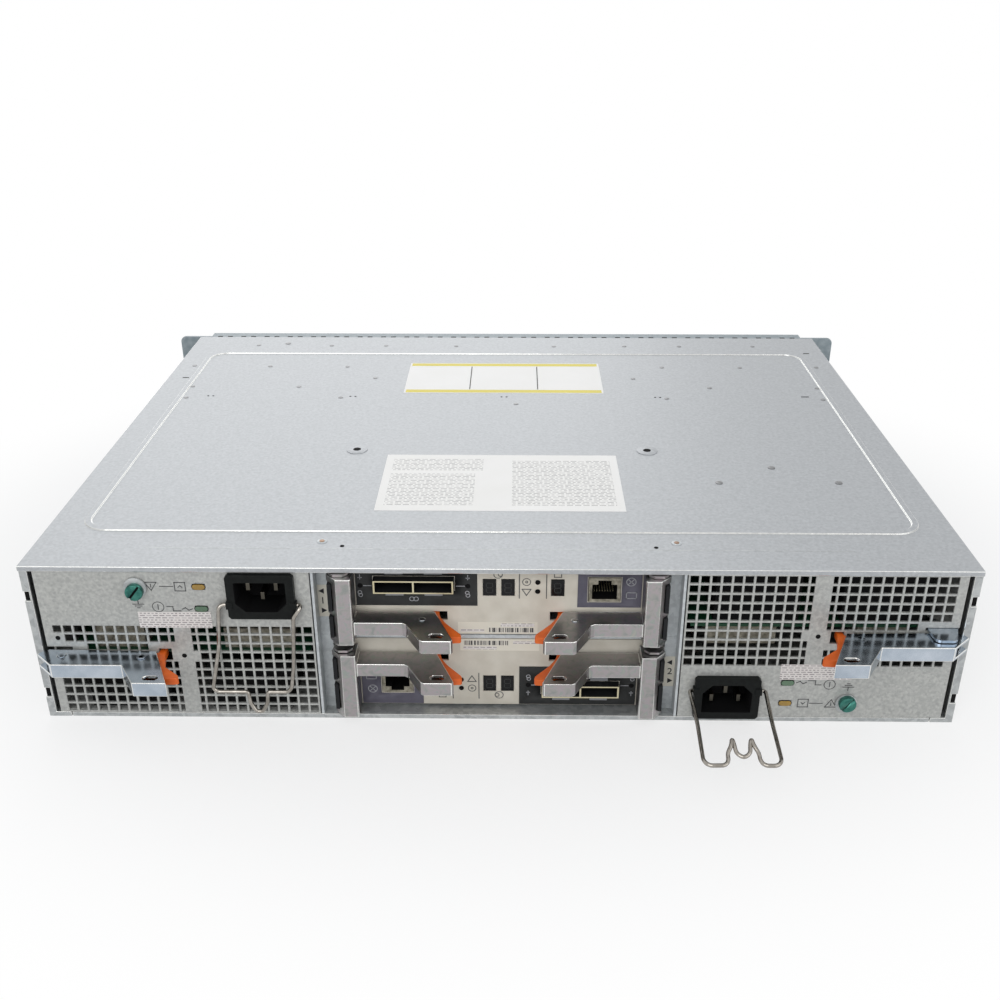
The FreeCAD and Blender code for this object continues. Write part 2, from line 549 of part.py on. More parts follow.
# ---------------------------------------------------------------- link control card
def card_tray():
    y = D["rear_y"] - D["recess"]
    x, z0, z1 = D["card_half"], D["card_z0"], D["card_z1"]
    shapes = [loop([(-x, z0), (x, z0), (x, z1), (-x, z1)])]
    for a, b, c, d in ((D["cage_x0"] - 0.3, D["cage_x1"] + 0.3, D["cage_z0"] - 0.3,
                        D["cage_z1"] + 0.3),
                       (-D["jack_x1"] - 0.3, -D["jack_x0"] + 0.3, D["jack_z0"] - 0.3,
                        D["jack_z1"] + 0.3),
                       (24.6, 33.2, 52.4, 57.4), (-33.2, -24.6, 52.4, 57.4)):
        shapes.append(loop([(a, c), (b, c), (b, d), (a, d)]))
    pieces = [
        pad("card_face", shapes, "rear_y - recess - gauge", "rear_y - recess", "XZ"),
        blk("card_floor", "-card_half", "card_half", "card_front", "rear_y - recess - 0.2",
            "card_z1 - gauge", "card_z1"),
        blk("card_side_l", "-card_half", "-(card_half - gauge)", "card_front",
            "rear_y - recess - 0.2", "card_z1 - 14", "card_z1"),
        blk("card_side_r", "card_half - gauge", "card_half", "card_front",
            "rear_y - recess - 0.2", "card_z1 - 14", "card_z1"),
    ]
    for side in (-1, 1):
        px = side * D["post_x"]
        for tag, a, b in (("up", "card_z1 - gauge", "card_z1"), ("low", "card_z0", "card_z0 + gauge")):
            r = D["lug_r"]
            base = D["rear_y"] - D["recess"] - 0.6
            tip = D["post_y"] + r
            pieces.append(pad("lug_%s_%d" % (tag, side), [loop([
                (px - r, base), (px + r, base), (px + r, tip - 2.4), (px + r - 2.4, tip),
                (px - r + 2.4, tip), (px - r, tip - 2.4)])], a, b))
        pieces.append(rod("lug_pin_%d" % side, "z", (px, "post_y"), "card_z0 + 0.6",
                          "card_z1 - 0.6", "pin_r"))
    recesses = [blk("display_recess_%d" % i, a, b, "rear_y - recess - 0.5", "rear_y - recess + 1",
                    66.2, 75.5) for i, (a, b) in enumerate(((1.0, 7.6), (-7.8, -1.2),
                                                            (-31.4, -24.8)))]
    return cut("card_tray", fuse("card_tray_sheet", pieces), recesses)


def card_board():
    """Circuit board with its chips, heat sink, displays and the two connectors."""
    return group("card_board", [
        blk("cb_board", "-(card_half - 2)", "card_half - 2", "card_front + 9",
            "rear_y - recess - 2.4", 78.8, 80.4),
        blk("cb_sink", -24, 16, 10, 50, 62, 78.8),
        blk("cb_chip_a", 34, 54, 30, 50, 75.4, 78.8),
        blk("cb_chip_b", -60, -42, 60, 78, 75.4, 78.8),
        blk("cb_plug_l", -66, -26, "board_y1 + 9.6", "card_front + 26", 60, 78.8),
        blk("cb_plug_r", 26, 66, "board_y1 + 9.6", "card_front + 26", 60, 78.8),
        blk("cb_digit_a", 1.3, 7.3, 150, 159.2, 66.5, 78.8),
        blk("cb_digit_b", -7.5, -1.5, 150, 159.2, 66.5, 78.8),
        blk("cb_digit_c", -31.1, -25.1, 150, 159.2, 66.5, 78.8),
    ])


def card_ports():
    """Shielded double link cage and the service jack."""
    cage = blk("cage_block", "cage_x0", "cage_x1", "rear_y - 34", "cage_out", "cage_z0", "cage_z1")
    mid = (D["cage_x0"] + D["cage_x1"]) / 2
    tools = []
    tongues = []
    for i, (a, b) in enumerate(((D["cage_x0"] + 0.8, mid - 0.4), (mid + 0.4, D["cage_x1"] - 0.8))):
        tools.append(blk("cage_mouth_%d" % i, a, b, "cage_out - 16", "cage_out + 1",
                         "cage_z0 + 0.7", "cage_z1 - 0.7"))
        tongues.append(blk("cage_tongue_%d" % i, a + 2, b - 2, "cage_out - 16.2",
                           "cage_out - 5.4", "cage_z0 + 2.6", "cage_z0 + 3.8"))
    shell = fuse("cage", [cut("cage_shell", cage, tools)] + tongues)
    jack = blk("jack_block", "-jack_x1", "-jack_x0", "rear_y - 26", "rear_y - recess + 0.4",
               "jack_z0", "jack_z1")
    plug = blk("jack_mouth", "-jack_x1 + 1.6", "-jack_x0 - 1.6", "rear_y - 22.5", "rear_y",
               "jack_z0 + 1.4", "jack_z0 + 9.4")
    key = blk("jack_key", "-jack_x1 + 4.4", "-jack_x0 - 4.4", "rear_y - 22.5", "rear_y",
              "jack_z0 + 9", "jack_z0 + 11.6")
    return group("card_ports", [shell, cut("jack", jack, [plug, key])])


def card_lever(side, tag):
    """Cast lever: a bored upright at the edge, a flat arm and a stepped-out finger tab."""
    y = D["rear_y"]

    def flip(points):
        return [(side * px, py) for px, py in points]
    px = D["post_x"]
    post = pad("post_" + tag, [loop(flip([
        (80.4, y - 0.6), (75.3, y + 5.0), (68.9, y + 5.0), (68.2, y + 4.3), (68.2, y - 6.4),
        (70.4, y - 7.9), (75.0, y - 7.9), (77.8, y - 6.9), (80.0, y - 4.4)]))],
        "post_z0", "post_z1")
    arm = pad("arm_" + tag, [loop(flip([
        (70.4, y + 4.0), (45.2, y + 4.0), (43.4, y + 5.2), (36.2, y + 18.4), (34.8, y + 19.2),
        (21.6, y + 19.2), (20.8, y + 18.0), (30.4, y - 6.2), (31.2, y - 7.0), (70.4, y - 7.0)]))],
        "arm_z0", "arm_z1")
    solid = fuse("lever_cast_" + tag, [post, arm])
    bore = rod("lever_bore_" + tag, "z", (side * px, "post_y"), "post_z0 - 1", "post_z1 + 1",
               "bore_r")
    slot = pad("lever_slot_" + tag, [loop(flip([(42.6, y - 9.0), (42.6, y + 6.8), (34.0, y + 12.4),
                                                (16.0, y + 17.2), (16.0, y - 9.0)]))],
               "arm_z0 + 1.5", "arm_z1 - 1.5")
    eye = sorted((side * 25.2, side * 32.0))
    oval = pad("lever_eye_" + tag, [clipped(eye[0], eye[1], y + 12.8, y + 16.2, 1.1)],
               "arm_z0 - 1", "arm_z1 + 1")
    relief = [blk("post_relief_%s_%d" % (tag, i), side * 79.9 - 2.3, side * 79.9 + 2.3,
                  "rear_y - 4.2", "rear_y + 3.2", a, b)
              for i, (a, b) in enumerate(((49.4, 61.0), (64.0, 78.6)))]
    shell = cut("lever_cut_" + tag, solid, [bore, slot, oval] + relief)
    rivet = rod("lever_clip_" + tag, "z", (side * D["clip_x"], "clip_y"), "arm_z0 + 0.5",
                "arm_z1 + 0.4", "rivet_r")
    return fuse("card_lever_" + tag, [shell, rivet])


def card_latch(side, tag):
    """Plastic latch in the arm's slot: nose in the face's square hole, thumb inside."""
    y = D["rear_y"]

    def flip(points):
        return [(side * px, py) for px, py in points]
    strap = pad("clip_strap_" + tag, [loop(flip([
        (39.4, y + 3.6), (33.4, y + 4.4), (27.6, y + 8.4), (21.8, y + 13.3), (17.7, y + 12.9),
        (17.1, y + 11.9), (17.6, y + 10.2), (24.6, y + 1.4), (27.6, y - 4.0), (28.6, y - 8.0),
        (28.6, y - 12.4), (31.4, y - 12.4), (32.2, y - 6.4), (35.0, y - 2.6),
        (39.4, y - 2.4)]))], "arm_z0 + 1.9", "arm_z1 - 1.7")
    bore = rod("clip_bore_" + tag, "z", (side * D["clip_x"], "clip_y"), "arm_z0", "arm_z1",
               "rivet_bore")
    return cut("card_latch_" + tag, strap, [bore])


def link_cards():
    pieces = [("tray", card_tray()), ("board", card_board()), ("ports", card_ports())]
    for side, hand in ((1, "left"), (-1, "right")):
        pieces.append(("lever_" + hand, card_lever(side, hand)))
        pieces.append(("latch_" + hand, card_latch(side, hand)))
    for label, piece in pieces:
        node("lcc_b_" + label, piece)
        twin("lcc_a_" + label, piece)


chassis()
front()
middle()
bays()
power_modules()
link_cards()
drives()
doc.recompute()

for item in doc.Objects:
    if "Invalid" in item.State or "Error" in item.State:
        raise RuntimeError("%s: %s" % (item.Name, item.State))
for item in NODES:
    if item.Shape.isNull() or not item.Shape.isValid():
        raise RuntimeError("bad shape in " + item.Label)
    item.Shape.exportStep("parts/%s.step" % item.Label)
print(len(NODES), "nodes")
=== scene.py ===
import math

import bpy
from mathutils import Matrix, Vector


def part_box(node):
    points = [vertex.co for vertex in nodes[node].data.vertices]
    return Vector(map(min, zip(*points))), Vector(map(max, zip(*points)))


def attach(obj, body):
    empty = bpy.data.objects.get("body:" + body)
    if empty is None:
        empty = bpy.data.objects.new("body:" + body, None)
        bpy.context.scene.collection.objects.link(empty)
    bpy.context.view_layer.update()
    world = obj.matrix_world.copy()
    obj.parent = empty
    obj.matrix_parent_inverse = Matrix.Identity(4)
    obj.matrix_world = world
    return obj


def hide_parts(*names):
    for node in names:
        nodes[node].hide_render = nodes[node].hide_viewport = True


# Disk shelf enclosure: the dressed model. Blender's units are metres, in the frame of the
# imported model. Places below are in millimetres and are multiplied by MM where they are used.
# The rear faces +Y. The modules psu_b and lcc_b are upright, and psu_a and lcc_a are the same
# turned half a turn about the Y axis.

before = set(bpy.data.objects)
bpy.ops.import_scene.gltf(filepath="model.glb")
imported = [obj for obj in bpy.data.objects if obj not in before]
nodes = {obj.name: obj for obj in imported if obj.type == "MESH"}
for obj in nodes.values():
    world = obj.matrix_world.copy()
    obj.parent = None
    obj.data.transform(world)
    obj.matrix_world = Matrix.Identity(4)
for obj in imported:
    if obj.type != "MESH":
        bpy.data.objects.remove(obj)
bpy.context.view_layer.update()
MM = 0.001


def added(name, data):
    """A new object in the scene."""
    thing = bpy.data.objects.new(name, data)
    bpy.context.scene.collection.objects.link(thing)
    return thing


# ------------------------------------------------------------------ camera
CAMERA_PLACE = (-0.007422, 0.617038, 0.344042)
CAMERA_RIGHT = Vector((-0.999903, -0.013883, -0.001485))
CAMERA_DOWN = Vector((-0.004848, 0.444916, -0.895559))

camera_data = bpy.data.cameras.new("camera")
camera_data.sensor_width = 36.0
camera_data.lens = 40.21
camera_data.clip_start = 0.02
camera_data.clip_end = 40.0
camera = added("camera", camera_data)
bpy.context.scene.camera = camera
ahead = CAMERA_RIGHT.cross(CAMERA_DOWN)
turn = Matrix((CAMERA_RIGHT, -CAMERA_DOWN, -ahead)).transposed()
camera.matrix_world = Matrix.Translation(CAMERA_PLACE) @ turn.to_4x4()


# ------------------------------------------------------------------ finishes
def tone(r, g, b):
    """Display colour, 0 to 255, as linear values."""
    return tuple((c / 255 / 12.92) if c < 10.3 else ((c / 255 + 0.055) / 1.055) ** 2.4
                 for c in (r, g, b)) + (1.0,)


def wire_up(tree, *pairs):
    """Links each pair of sockets, from the first to the second."""
    for out, into in pairs:
        tree.links.new(out, into)


BUMP_DEPTH = 0.0002
LABEL_ROUGH = (0.38, 0.48)
LABEL_GRAIN = (60, 60, 60)


def finish(name, low, high, rough=(0.4, 0.5), metal=0.0, grain=(40, 40, 40), bump=0.05,
           detail=4.0, spangle=0.0, spangle_size=220, coat=0.0, shine=0.5):
    """A finish with uneven colour, gloss and surface: noise, and spangle on galvanised sheet.

    low and high are the colour's ends and rough the gloss's, grain is the noise's scale along
    X, Y and Z per metre, bump its strength, and spangle the share of the crystal pattern.
    """
    mat = bpy.data.materials.new(name)
    mat.use_nodes = True
    tree = mat.node_tree
    make = tree.nodes.new
    shader = tree.nodes["Principled BSDF"]
    shader.inputs["Metallic"].default_value = metal
    shader.inputs["Coat Weight"].default_value = coat
    shader.inputs["Specular IOR Level"].default_value = shine
    where = make("ShaderNodeTexCoord")
    scale = make("ShaderNodeMapping")
    scale.inputs["Scale"].default_value = grain
    noise = make("ShaderNodeTexNoise")
    noise.inputs["Scale"].default_value = 1.0
    noise.inputs["Detail"].default_value = detail
    ramp = make("ShaderNodeValToRGB")
    ramp.color_ramp.elements[0].position = 0.3
    ramp.color_ramp.elements[0].color = low
    ramp.color_ramp.elements[1].position = 0.7
    ramp.color_ramp.elements[1].color = high
    gloss = make("ShaderNodeMapRange")
    gloss.inputs["To Min"].default_value = rough[0]
    gloss.inputs["To Max"].default_value = rough[1]
    relief = make("ShaderNodeBump")
    relief.inputs["Strength"].default_value = bump
    relief.inputs["Distance"].default_value = BUMP_DEPTH
    wire_up(tree, (where.outputs["Object"], scale.inputs["Vector"]),
            (scale.outputs["Vector"], noise.inputs["Vector"]),
            (noise.outputs["Fac"], gloss.inputs["Value"]),
            (noise.outputs["Fac"], relief.inputs["Height"]),
            (gloss.outputs["Result"], shader.inputs["Roughness"]),
            (relief.outputs["Normal"], shader.inputs["Normal"]))
    if spangle:
        cells = make("ShaderNodeTexVoronoi")
        cells.inputs["Scale"].default_value = spangle_size
        cells.inputs["Randomness"].default_value = 1.0
        tint = make("ShaderNodeSeparateColor")
        blend = make("ShaderNodeMix")
        blend.inputs["Factor"].default_value = spangle
        wire_up(tree, (where.outputs["Object"], cells.inputs["Vector"]),
                (cells.outputs["Color"], tint.inputs["Color"]),
                (noise.outputs["Fac"], blend.inputs["A"]),
                (tint.outputs["Red"], blend.inputs["B"]),
                (blend.outputs["Result"], ramp.inputs["Fac"]))
    else:
        wire_up(tree, (noise.outputs["Fac"], ramp.inputs["Fac"]))
    wire_up(tree, (ramp.outputs["Color"], shader.inputs["Base Color"]))
    return mat


def passivated(name, stops, rough, metal, size):
    """Plating with faint pink, green and straw tints that drift over the casting."""
    mat = finish(name, tone(150, 150, 146), tone(180, 178, 176), rough, metal,
                 (60, 60, 60), 0.12, 5.0)
    tree = mat.node_tree
    where = tree.nodes["Texture Coordinate"]
    drift = tree.nodes.new("ShaderNodeTexNoise")
    drift.inputs["Scale"].default_value = size
    drift.inputs["Detail"].default_value = 2.0
    drift.inputs["Distortion"].default_value = 0.6
    tints = tree.nodes.new("ShaderNodeValToRGB")
    ramp = tints.color_ramp
    ramp.elements[0].position, ramp.elements[0].color = stops[0]
    ramp.elements[1].position, ramp.elements[1].color = stops[-1]
    for place, colour in stops[1:-1]:
        ramp.elements.new(place).color = colour
    wire_up(tree, (where.outputs["Object"], drift.inputs["Vector"]),
            (drift.outputs["Fac"], tints.inputs["Fac"]),
            (tints.outputs["Color"], tree.nodes["Principled BSDF"].inputs["Base Color"]))
    return mat


def mapped(tree, reach, face):
    """The piece's own place in millimetres times reach, laid flat: XZ for the rear, XY on top."""
    where = tree.nodes["Texture Coordinate"]
    apart = tree.nodes.new("ShaderNodeSeparateXYZ")
    flat = tree.nodes.new("ShaderNodeCombineXYZ")
    scale = tree.nodes.new("ShaderNodeVectorMath")
    scale.operation = "SCALE"
    scale.inputs["Scale"].default_value = 1000.0 * reach
    wire_up(tree, (where.outputs["Object"], apart.inputs["Vector"]),
            (apart.outputs["X"], flat.inputs["X"]),
            (apart.outputs["Z" if face == "XZ" else "Y"], flat.inputs["Y"]),
            (flat.outputs["Vector"], scale.inputs[0]))
    return scale.outputs["Vector"]


ROW_HEIGHT = 0.25       # of the brick pattern, in its own units


def printed(name, paper, ink, line, face):
    """Paper with rows of plain dashes where small print would be, line millimetres apart."""
    mat = finish(name, paper, paper, LABEL_ROUGH, 0.0, LABEL_GRAIN, 0.02)
    tree = mat.node_tree
    rows = tree.nodes.new("ShaderNodeTexBrick")
    rows.offset = 0.37
    rows.squash = 0.6
    rows.squash_frequency = 3
    rows.inputs["Scale"].default_value = 1.0
    rows.inputs["Brick Width"].default_value = 0.62
    rows.inputs["Row Height"].default_value = ROW_HEIGHT
    rows.inputs["Mortar Size"].default_value = 0.085
    rows.inputs["Mortar Smooth"].default_value = 0.2
    rows.inputs["Color1"].default_value = ink
    rows.inputs["Color2"].default_value = paper
    rows.inputs["Bias"].default_value = -0.45
    rows.inputs["Mortar"].default_value = paper
    tree.links.new(mapped(tree, ROW_HEIGHT / line, face), rows.inputs["Vector"])
    tree.links.new(rows.outputs["Color"], tree.nodes["Principled BSDF"].inputs["Base Color"])
    return mat


def striped(name, paper, ink, width):
    """Upright dark bars of uneven width on paper, about width millimetres apart."""
    mat = finish(name, paper, paper, LABEL_ROUGH, 0.0, LABEL_GRAIN, 0.02)
    tree = mat.node_tree
    bars = tree.nodes.new("ShaderNodeTexNoise")
    bars.noise_dimensions = "1D"
    bars.inputs["Scale"].default_value = 1000.0 / width
    bars.inputs["Detail"].default_value = 1.0
    apart = tree.nodes.new("ShaderNodeSeparateXYZ")
    edge = tree.nodes.new("ShaderNodeValToRGB")
    edge.color_ramp.interpolation = "CONSTANT"
    edge.color_ramp.elements[0].color = ink
    edge.color_ramp.elements[1].position = 0.5
    edge.color_ramp.elements[1].color = paper
    wire_up(tree, (tree.nodes["Texture Coordinate"].outputs["Object"], apart.inputs["Vector"]),
            (apart.outputs["X"], bars.inputs["W"]), (bars.outputs["Fac"], edge.inputs["Fac"]),
            (edge.outputs["Color"], tree.nodes["Principled BSDF"].inputs["Base Color"]))
    return mat


COVER = finish("zinc_cover", tone(168, 171, 174), tone(184, 187, 190), (0.4, 0.5), 0.4,
               (520, 520, 520), 0.03, 8.0, 0.25, 900)
SHEET = finish("zinc_sheet", tone(162, 165, 166), tone(190, 193, 193), (0.32, 0.46), 0.5,
               (240, 240, 240), 0.03, 8.0, 0.35, 420)
# A lighter, less metallic copy of the zinc sheet: painted light that lifts the bay frame in its
# shaded recess.
BAY = finish("bay_sheet", tone(184, 189, 192), tone(206, 211, 213), (0.36, 0.48), 0.2,
             (240, 240, 240), 0.03, 8.0, 0.3, 500)
MODULE = finish("module_sheet", tone(162, 163, 161), tone(190, 191, 187), (0.36, 0.5), 0.3,
                (520, 520, 520), 0.03, 8.0, 0.25, 900)
FACE = finish("card_face", tone(202, 196, 183), tone(216, 211, 199), (0.4, 0.5), 0.05,
              (120, 120, 120), 0.03)
TRIM = finish("trim_paint", tone(130, 142, 148), tone(154, 164, 169), (0.4, 0.5), 0.1,
              (300, 300, 300), 0.12, 3.0)
LEVER = finish("lever_zinc", tone(154, 166, 178), tone(192, 200, 210), (0.12, 0.26), 1.0,
               (70, 70, 70), 0.03)
CAST = passivated("lever_cast", [(0.3, tone(146, 149, 147)), (0.45, tone(160, 158, 156)),
                                 (0.54, tone(167, 158, 162)), (0.64, tone(152, 159, 155)),
                                 (0.76, tone(170, 167, 160))], (0.26, 0.4), 1.0, 260)
# Bright metal for bevelled edges and bead lines: a painted highlight, lighter than the faces.
EDGE_HIGHLIGHT = finish("edge_painted_highlight", tone(216, 217, 214), tone(240, 240, 236), (0.12, 0.24), 1.0,
              (600, 600, 600), 0.02)
ORANGE = finish("latch_orange", tone(220, 94, 26), tone(238, 114, 40), (0.38, 0.5), 0.0,
                (200, 200, 200), 0.06)
BLACK = finish("inlet_plastic", tone(14, 16, 16), tone(24, 27, 26), (0.3, 0.44), 0.0,
               (400, 400, 400), 0.12, shine=0.12)
# Near-black: painted shade in holes, slots, wells and module insides, and the real black of chips
# and small lamps.
DARK = finish("shade_and_black", tone(12, 12, 13), tone(20, 20, 21), (0.6, 0.8), 0.0, shine=0.1)
GLASS = finish("display_black", tone(14, 14, 15), tone(22, 22, 24), (0.16, 0.26), 0.0, shine=0.2)
WIRE = finish("bail_wire", tone(138, 133, 126), tone(172, 167, 160), (0.08, 0.18), 1.0,
              (300, 300, 300), 0.02)
# A darkened metal for the inlet's blades: painted shade, as they sit deep in the socket's well.
BLADE = finish("blade_metal", tone(66, 64, 58), tone(92, 88, 80), (0.3, 0.4), 1.0)
GREEN = finish("screw_green", tone(34, 92, 84), tone(70, 132, 120), (0.2, 0.36), 0.7,
               (300, 300, 300), 0.05)
BOARD = finish("circuit_board", tone(18, 66, 44), tone(28, 84, 56), (0.35, 0.5), 0.0,
               (260, 260, 260), 0.1)
BEIGE = finish("terminal_beige", tone(98, 93, 80), tone(172, 166, 150), (0.5, 0.6), 0.0,
               (420, 420, 420), 0.3, 2.0)
SHELL = finish("port_shell", tone(160, 158, 146), tone(186, 182, 168), (0.24, 0.38), 0.9,
               (200, 200, 200), 0.05)
GOLD = finish("port_rim", tone(192, 182, 148), tone(214, 206, 176), (0.24, 0.34), 0.8)
CARRIER = finish("carrier_grey", tone(56, 59, 64), tone(72, 75, 80), (0.42, 0.55), 0.0,
                 (350, 350, 350), 0.12, shine=0.35)
DRIVE_METAL = finish("drive_metal", tone(140, 142, 144), tone(166, 168, 170), (0.3, 0.44), 0.85,
                     (90, 420, 90), 0.03, 5.0)
HANDLE = finish("handle_grey", tone(104, 109, 114), tone(122, 127, 132), (0.36, 0.48), 0.1,
                (350, 350, 350), 0.1)
PANEL = finish("panel_dark", tone(44, 45, 45), tone(55, 56, 56), (0.42, 0.52), 0.0,
               (160, 160, 160), 0.05, shine=0.2)
LILAC = finish("panel_lilac", tone(86, 84, 96), tone(100, 98, 110), (0.42, 0.52), 0.0,
               (160, 160, 160), 0.05, shine=0.25)
# Near-black painted shade in the cast levers' hollows and on the link cage's flanks.
RECESS_SHADE = finish("recess_shade", tone(26, 27, 29), tone(38, 39, 41), (0.45, 0.6), 0.0, shine=0.15)
RIVET = finish("rivet_steel", tone(118, 119, 120), tone(140, 141, 142), (0.25, 0.4), 0.8)
TAG = finish("tag_grey", tone(138, 140, 144), tone(152, 154, 158), (0.4, 0.5), 0.0)
PAPER = finish("label_white", tone(244, 243, 240), tone(250, 249, 247), (0.4, 0.5), 0.0,
               (30, 30, 30), 0.02)
CREAM = finish("label_cream", tone(222, 217, 203), tone(232, 227, 214), (0.4, 0.5), 0.0)
YELLOW = finish("label_yellow", tone(222, 206, 60), tone(232, 216, 78), (0.4, 0.5), 0.0,
                (30, 30, 30), 0.02)
PRINT = printed("label_print", tone(247, 246, 243), tone(160, 160, 160), 1.7, "XY")
SMALL_PRINT = printed("label_small_print", tone(226, 221, 218), tone(146, 138, 140), 1.25, "XZ")
CODE = striped("label_bars", tone(218, 214, 204), tone(60, 58, 60), 0.8)
INK = finish("ink", tone(38, 38, 40), tone(52, 52, 54), (0.5, 0.6), 0.0, shine=0.25)
GREY_INK = finish("ink_grey", tone(84, 85, 86), tone(98, 99, 100), (0.5, 0.6), 0.0, shine=0.25)
PALE_INK = finish("ink_pale", tone(150, 151, 155), tone(164, 165, 169), (0.5, 0.6), 0.0)
COPPER = finish("screw_copper", tone(140, 116, 98), tone(172, 144, 122), (0.3, 0.45), 0.75)
AMBER = finish("lens_amber", tone(140, 108, 34), tone(164, 130, 50), (0.2, 0.3), 0.0, coat=0.4)
JADE = finish("lens_green", tone(72, 102, 78), tone(92, 122, 96), (0.2, 0.3), 0.0, coat=0.4)


# ------------------------------------------------------------------ places, in millimetres
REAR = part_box("psu_b_rear_plate")[1][1] / MM
RECESS = 8.5
CARD = REAR - RECESS
COVER_GAP = 2.8
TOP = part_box("psu_b_case")[1][2] / MM + COVER_GAP
INLET_X, INLET_Z = [sum(corner[axis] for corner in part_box("psu_b_inlet")) / 2 / MM
                    for axis in (0, 2)]
TRIM_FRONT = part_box("front_frame")[0][1] / MM
PITCH = 17.2            # from drive to drive
DRIVES = 25
MIDDLE_DRIVE = 12       # the 13th, at X = 0, counted from 0
HALF_TURN = Matrix.Translation((0, 0, TOP * MM)) @ Matrix.Rotation(math.pi, 4, "Y")


# ------------------------------------------------------------------ finishes on the CAD nodes
# The last key that a node's name holds gives its finish.
NODE_FINISH = {"base_pan": SHEET, "side_panel": SHEET, "top_cover": COVER, "bay_frame": BAY,
               "front_frame": TRIM, "midplane": BOARD, "_case": MODULE, "_rear_plate": MODULE,
               "_inlet": BLACK, "_bail": WIRE, "_lever": LEVER, "_latch": ORANGE,
               "_internals": DARK, "_tray": FACE, "_board": BOARD, "_ports": SHELL,
               "lcc_b_lever": CAST, "lcc_a_lever": CAST, "drive_": CARRIER}


def dress(node_name, mat, *patches):
    """One finish all over the node, and a patch's own finish wherever its rule holds.

    A rule gets a face's centre, in millimetres where the upright module of a pair has it, and
    the way the face points there.
    """
    data = nodes[node_name].data
    data.materials.clear()
    data.materials.append(mat)
    back = HALF_TURN if node_name[:6] in ("psu_a_", "lcc_a_") else Matrix.Identity(4)
    for number, (patch, rule) in enumerate(patches, start=1):
        data.materials.append(patch)
        for face in data.polygons:
            place = (back @ face.center) / MM
            if rule(place.x, place.y, place.z, back.to_3x3() @ face.normal):
                face.material_index = number


def soften(node_name, width, painted_highlight=False, flat=False):
    """Rounded edges on a node, width millimetres wide, with a painted highlight on them or not.

    Its loose faces are joined, made one where they are flat together, then bevelled. Edges
    are not held to the shortest one, which would leave them sharp round small holes.
    """
    node = nodes[node_name]
    node.modifiers.new("joined", "WELD").merge_threshold = 0.01 * MM
    if flat:
        faces = node.modifiers.new("flat", "DECIMATE")
        faces.decimate_type = "DISSOLVE"
        faces.angle_limit = math.radians(1)
    edge = node.modifiers.new("edge", "BEVEL")
    edge.width = width * MM
    edge.segments = 2
    edge.limit_method = "ANGLE"
    edge.angle_limit = math.radians(40)
    edge.use_clamp_overlap = False
    # The bright finish on the bevels is a painted highlight.
    if painted_highlight:
        node.data.materials.append(EDGE_HIGHLIGHT)
        edge.material = len(node.data.materials) - 1


def in_blade(x, y, z, way):
    """Whether a face of an inlet is on one of its three blades."""
    return (REAR - 12.9 < y < REAR - 1.8
            and any(abs(x - INLET_X - dx) < 1.0 and abs(z - INLET_Z - dz) < 2.1
                    for dx, dz in ((6.6, 2.9), (0.0, -2.0), (-6.6, 2.9))))


# Second finishes, by a part of the node's name. A later patch goes over an earlier one.
PATCHES = {
    # the lever's bracket
    "_case": [(LEVER, lambda x, y, z, way: y > REAR - 5 and 31 < z < 41.5 and x > 200)],
    # the socket's well, black plastic made darker as painted shade, and its blades, in a darkened
    # metal as painted shade
    "_inlet": [(DARK, lambda x, y, z, way: y < REAR + 2.9 and abs(x - INLET_X) < 12.1
                and abs(z - INLET_Z) < 8.0), (BLADE, in_blade)],
    # the board, the blocks on it behind the holes, and the light pipes' ends; the rest of the
    # internals keeps the dark finish as painted shade
    "_internals": [(BOARD, lambda x, y, z, way: 33.9 < z < 35.7),
                   (BEIGE, lambda x, y, z, way: y > REAR - 22.5 and 35.7 < z < 48),
                   (DARK, lambda x, y, z, way: y > REAR + 0.2)],
    # lugs and pins in front of the face, and the edge over it
    "_tray": [(CAST, lambda x, y, z, way: y > CARD + 0.1),
              (SHEET, lambda x, y, z, way: y < CARD - 1.1 and z > 82)],
    # the displays behind the face, and the chips
    "_board": [(GLASS, lambda x, y, z, way: y > 149 and 66 < z < 79 and x < 8),
               (DARK, lambda x, y, z, way: 60 < z < 78.6 and y < 149)],
    # link cage: inside and flanks painted dark as shade, and rims; service jack: front, and inside
    # painted dark as shade
    "_ports": [(DARK, lambda x, y, z, way: x > 0 and y < CARD + 4.2 and 21.9 < x < 58.7
                and 70.1 < z < 75.8),
               (RECESS_SHADE, lambda x, y, z, way: x > 0 and way.y <= 0.5),
               (GOLD, lambda x, y, z, way: x > 0 and y > CARD + 4.2 and way.y > 0.5),
               (BEIGE, lambda x, y, z, way: x < 0 and y > CARD + 0.2),
               (DARK, lambda x, y, z, way: x < 0 and -56.4 < x < -44.3 and 64.8 < z < 75.2
                and y < CARD + 0.2)],
    # the handle, and the well behind it, painted dark as shade
    "drive_": [(HANDLE, lambda x, y, z, way: y < TRIM_FRONT + 4.0),
               (DARK, lambda x, y, z, way: y > TRIM_FRONT + 4.2 and y < TRIM_FRONT + 10.9
                and 18.0 < z < 62.5 and (way.y < -0.5 or abs(way.y) < 0.1)
                and abs((x + PITCH / 2) % PITCH - PITCH / 2) < 6.8)],
}

for node_name in nodes:
    for key, mat in NODE_FINISH.items():
        if key in node_name:
            chosen = mat
    patches = [patch for key, found in PATCHES.items() if key in node_name for patch in found]
    dress(node_name, chosen, *patches)
for node_name in nodes:
    if "_lever" in node_name:
        soften(node_name, 0.3, painted_highlight=True, flat=node_name.startswith("psu"))
    elif "_latch" in node_name or node_name.endswith("_inlet"):
        soften(node_name, 0.2)
    elif node_name in ("top_cover", "base_pan", "side_panel_left", "side_panel_right"):
        soften(node_name, 0.22, painted_highlight=True)
    elif node_name == "front_frame":
        soften(node_name, 0.3)


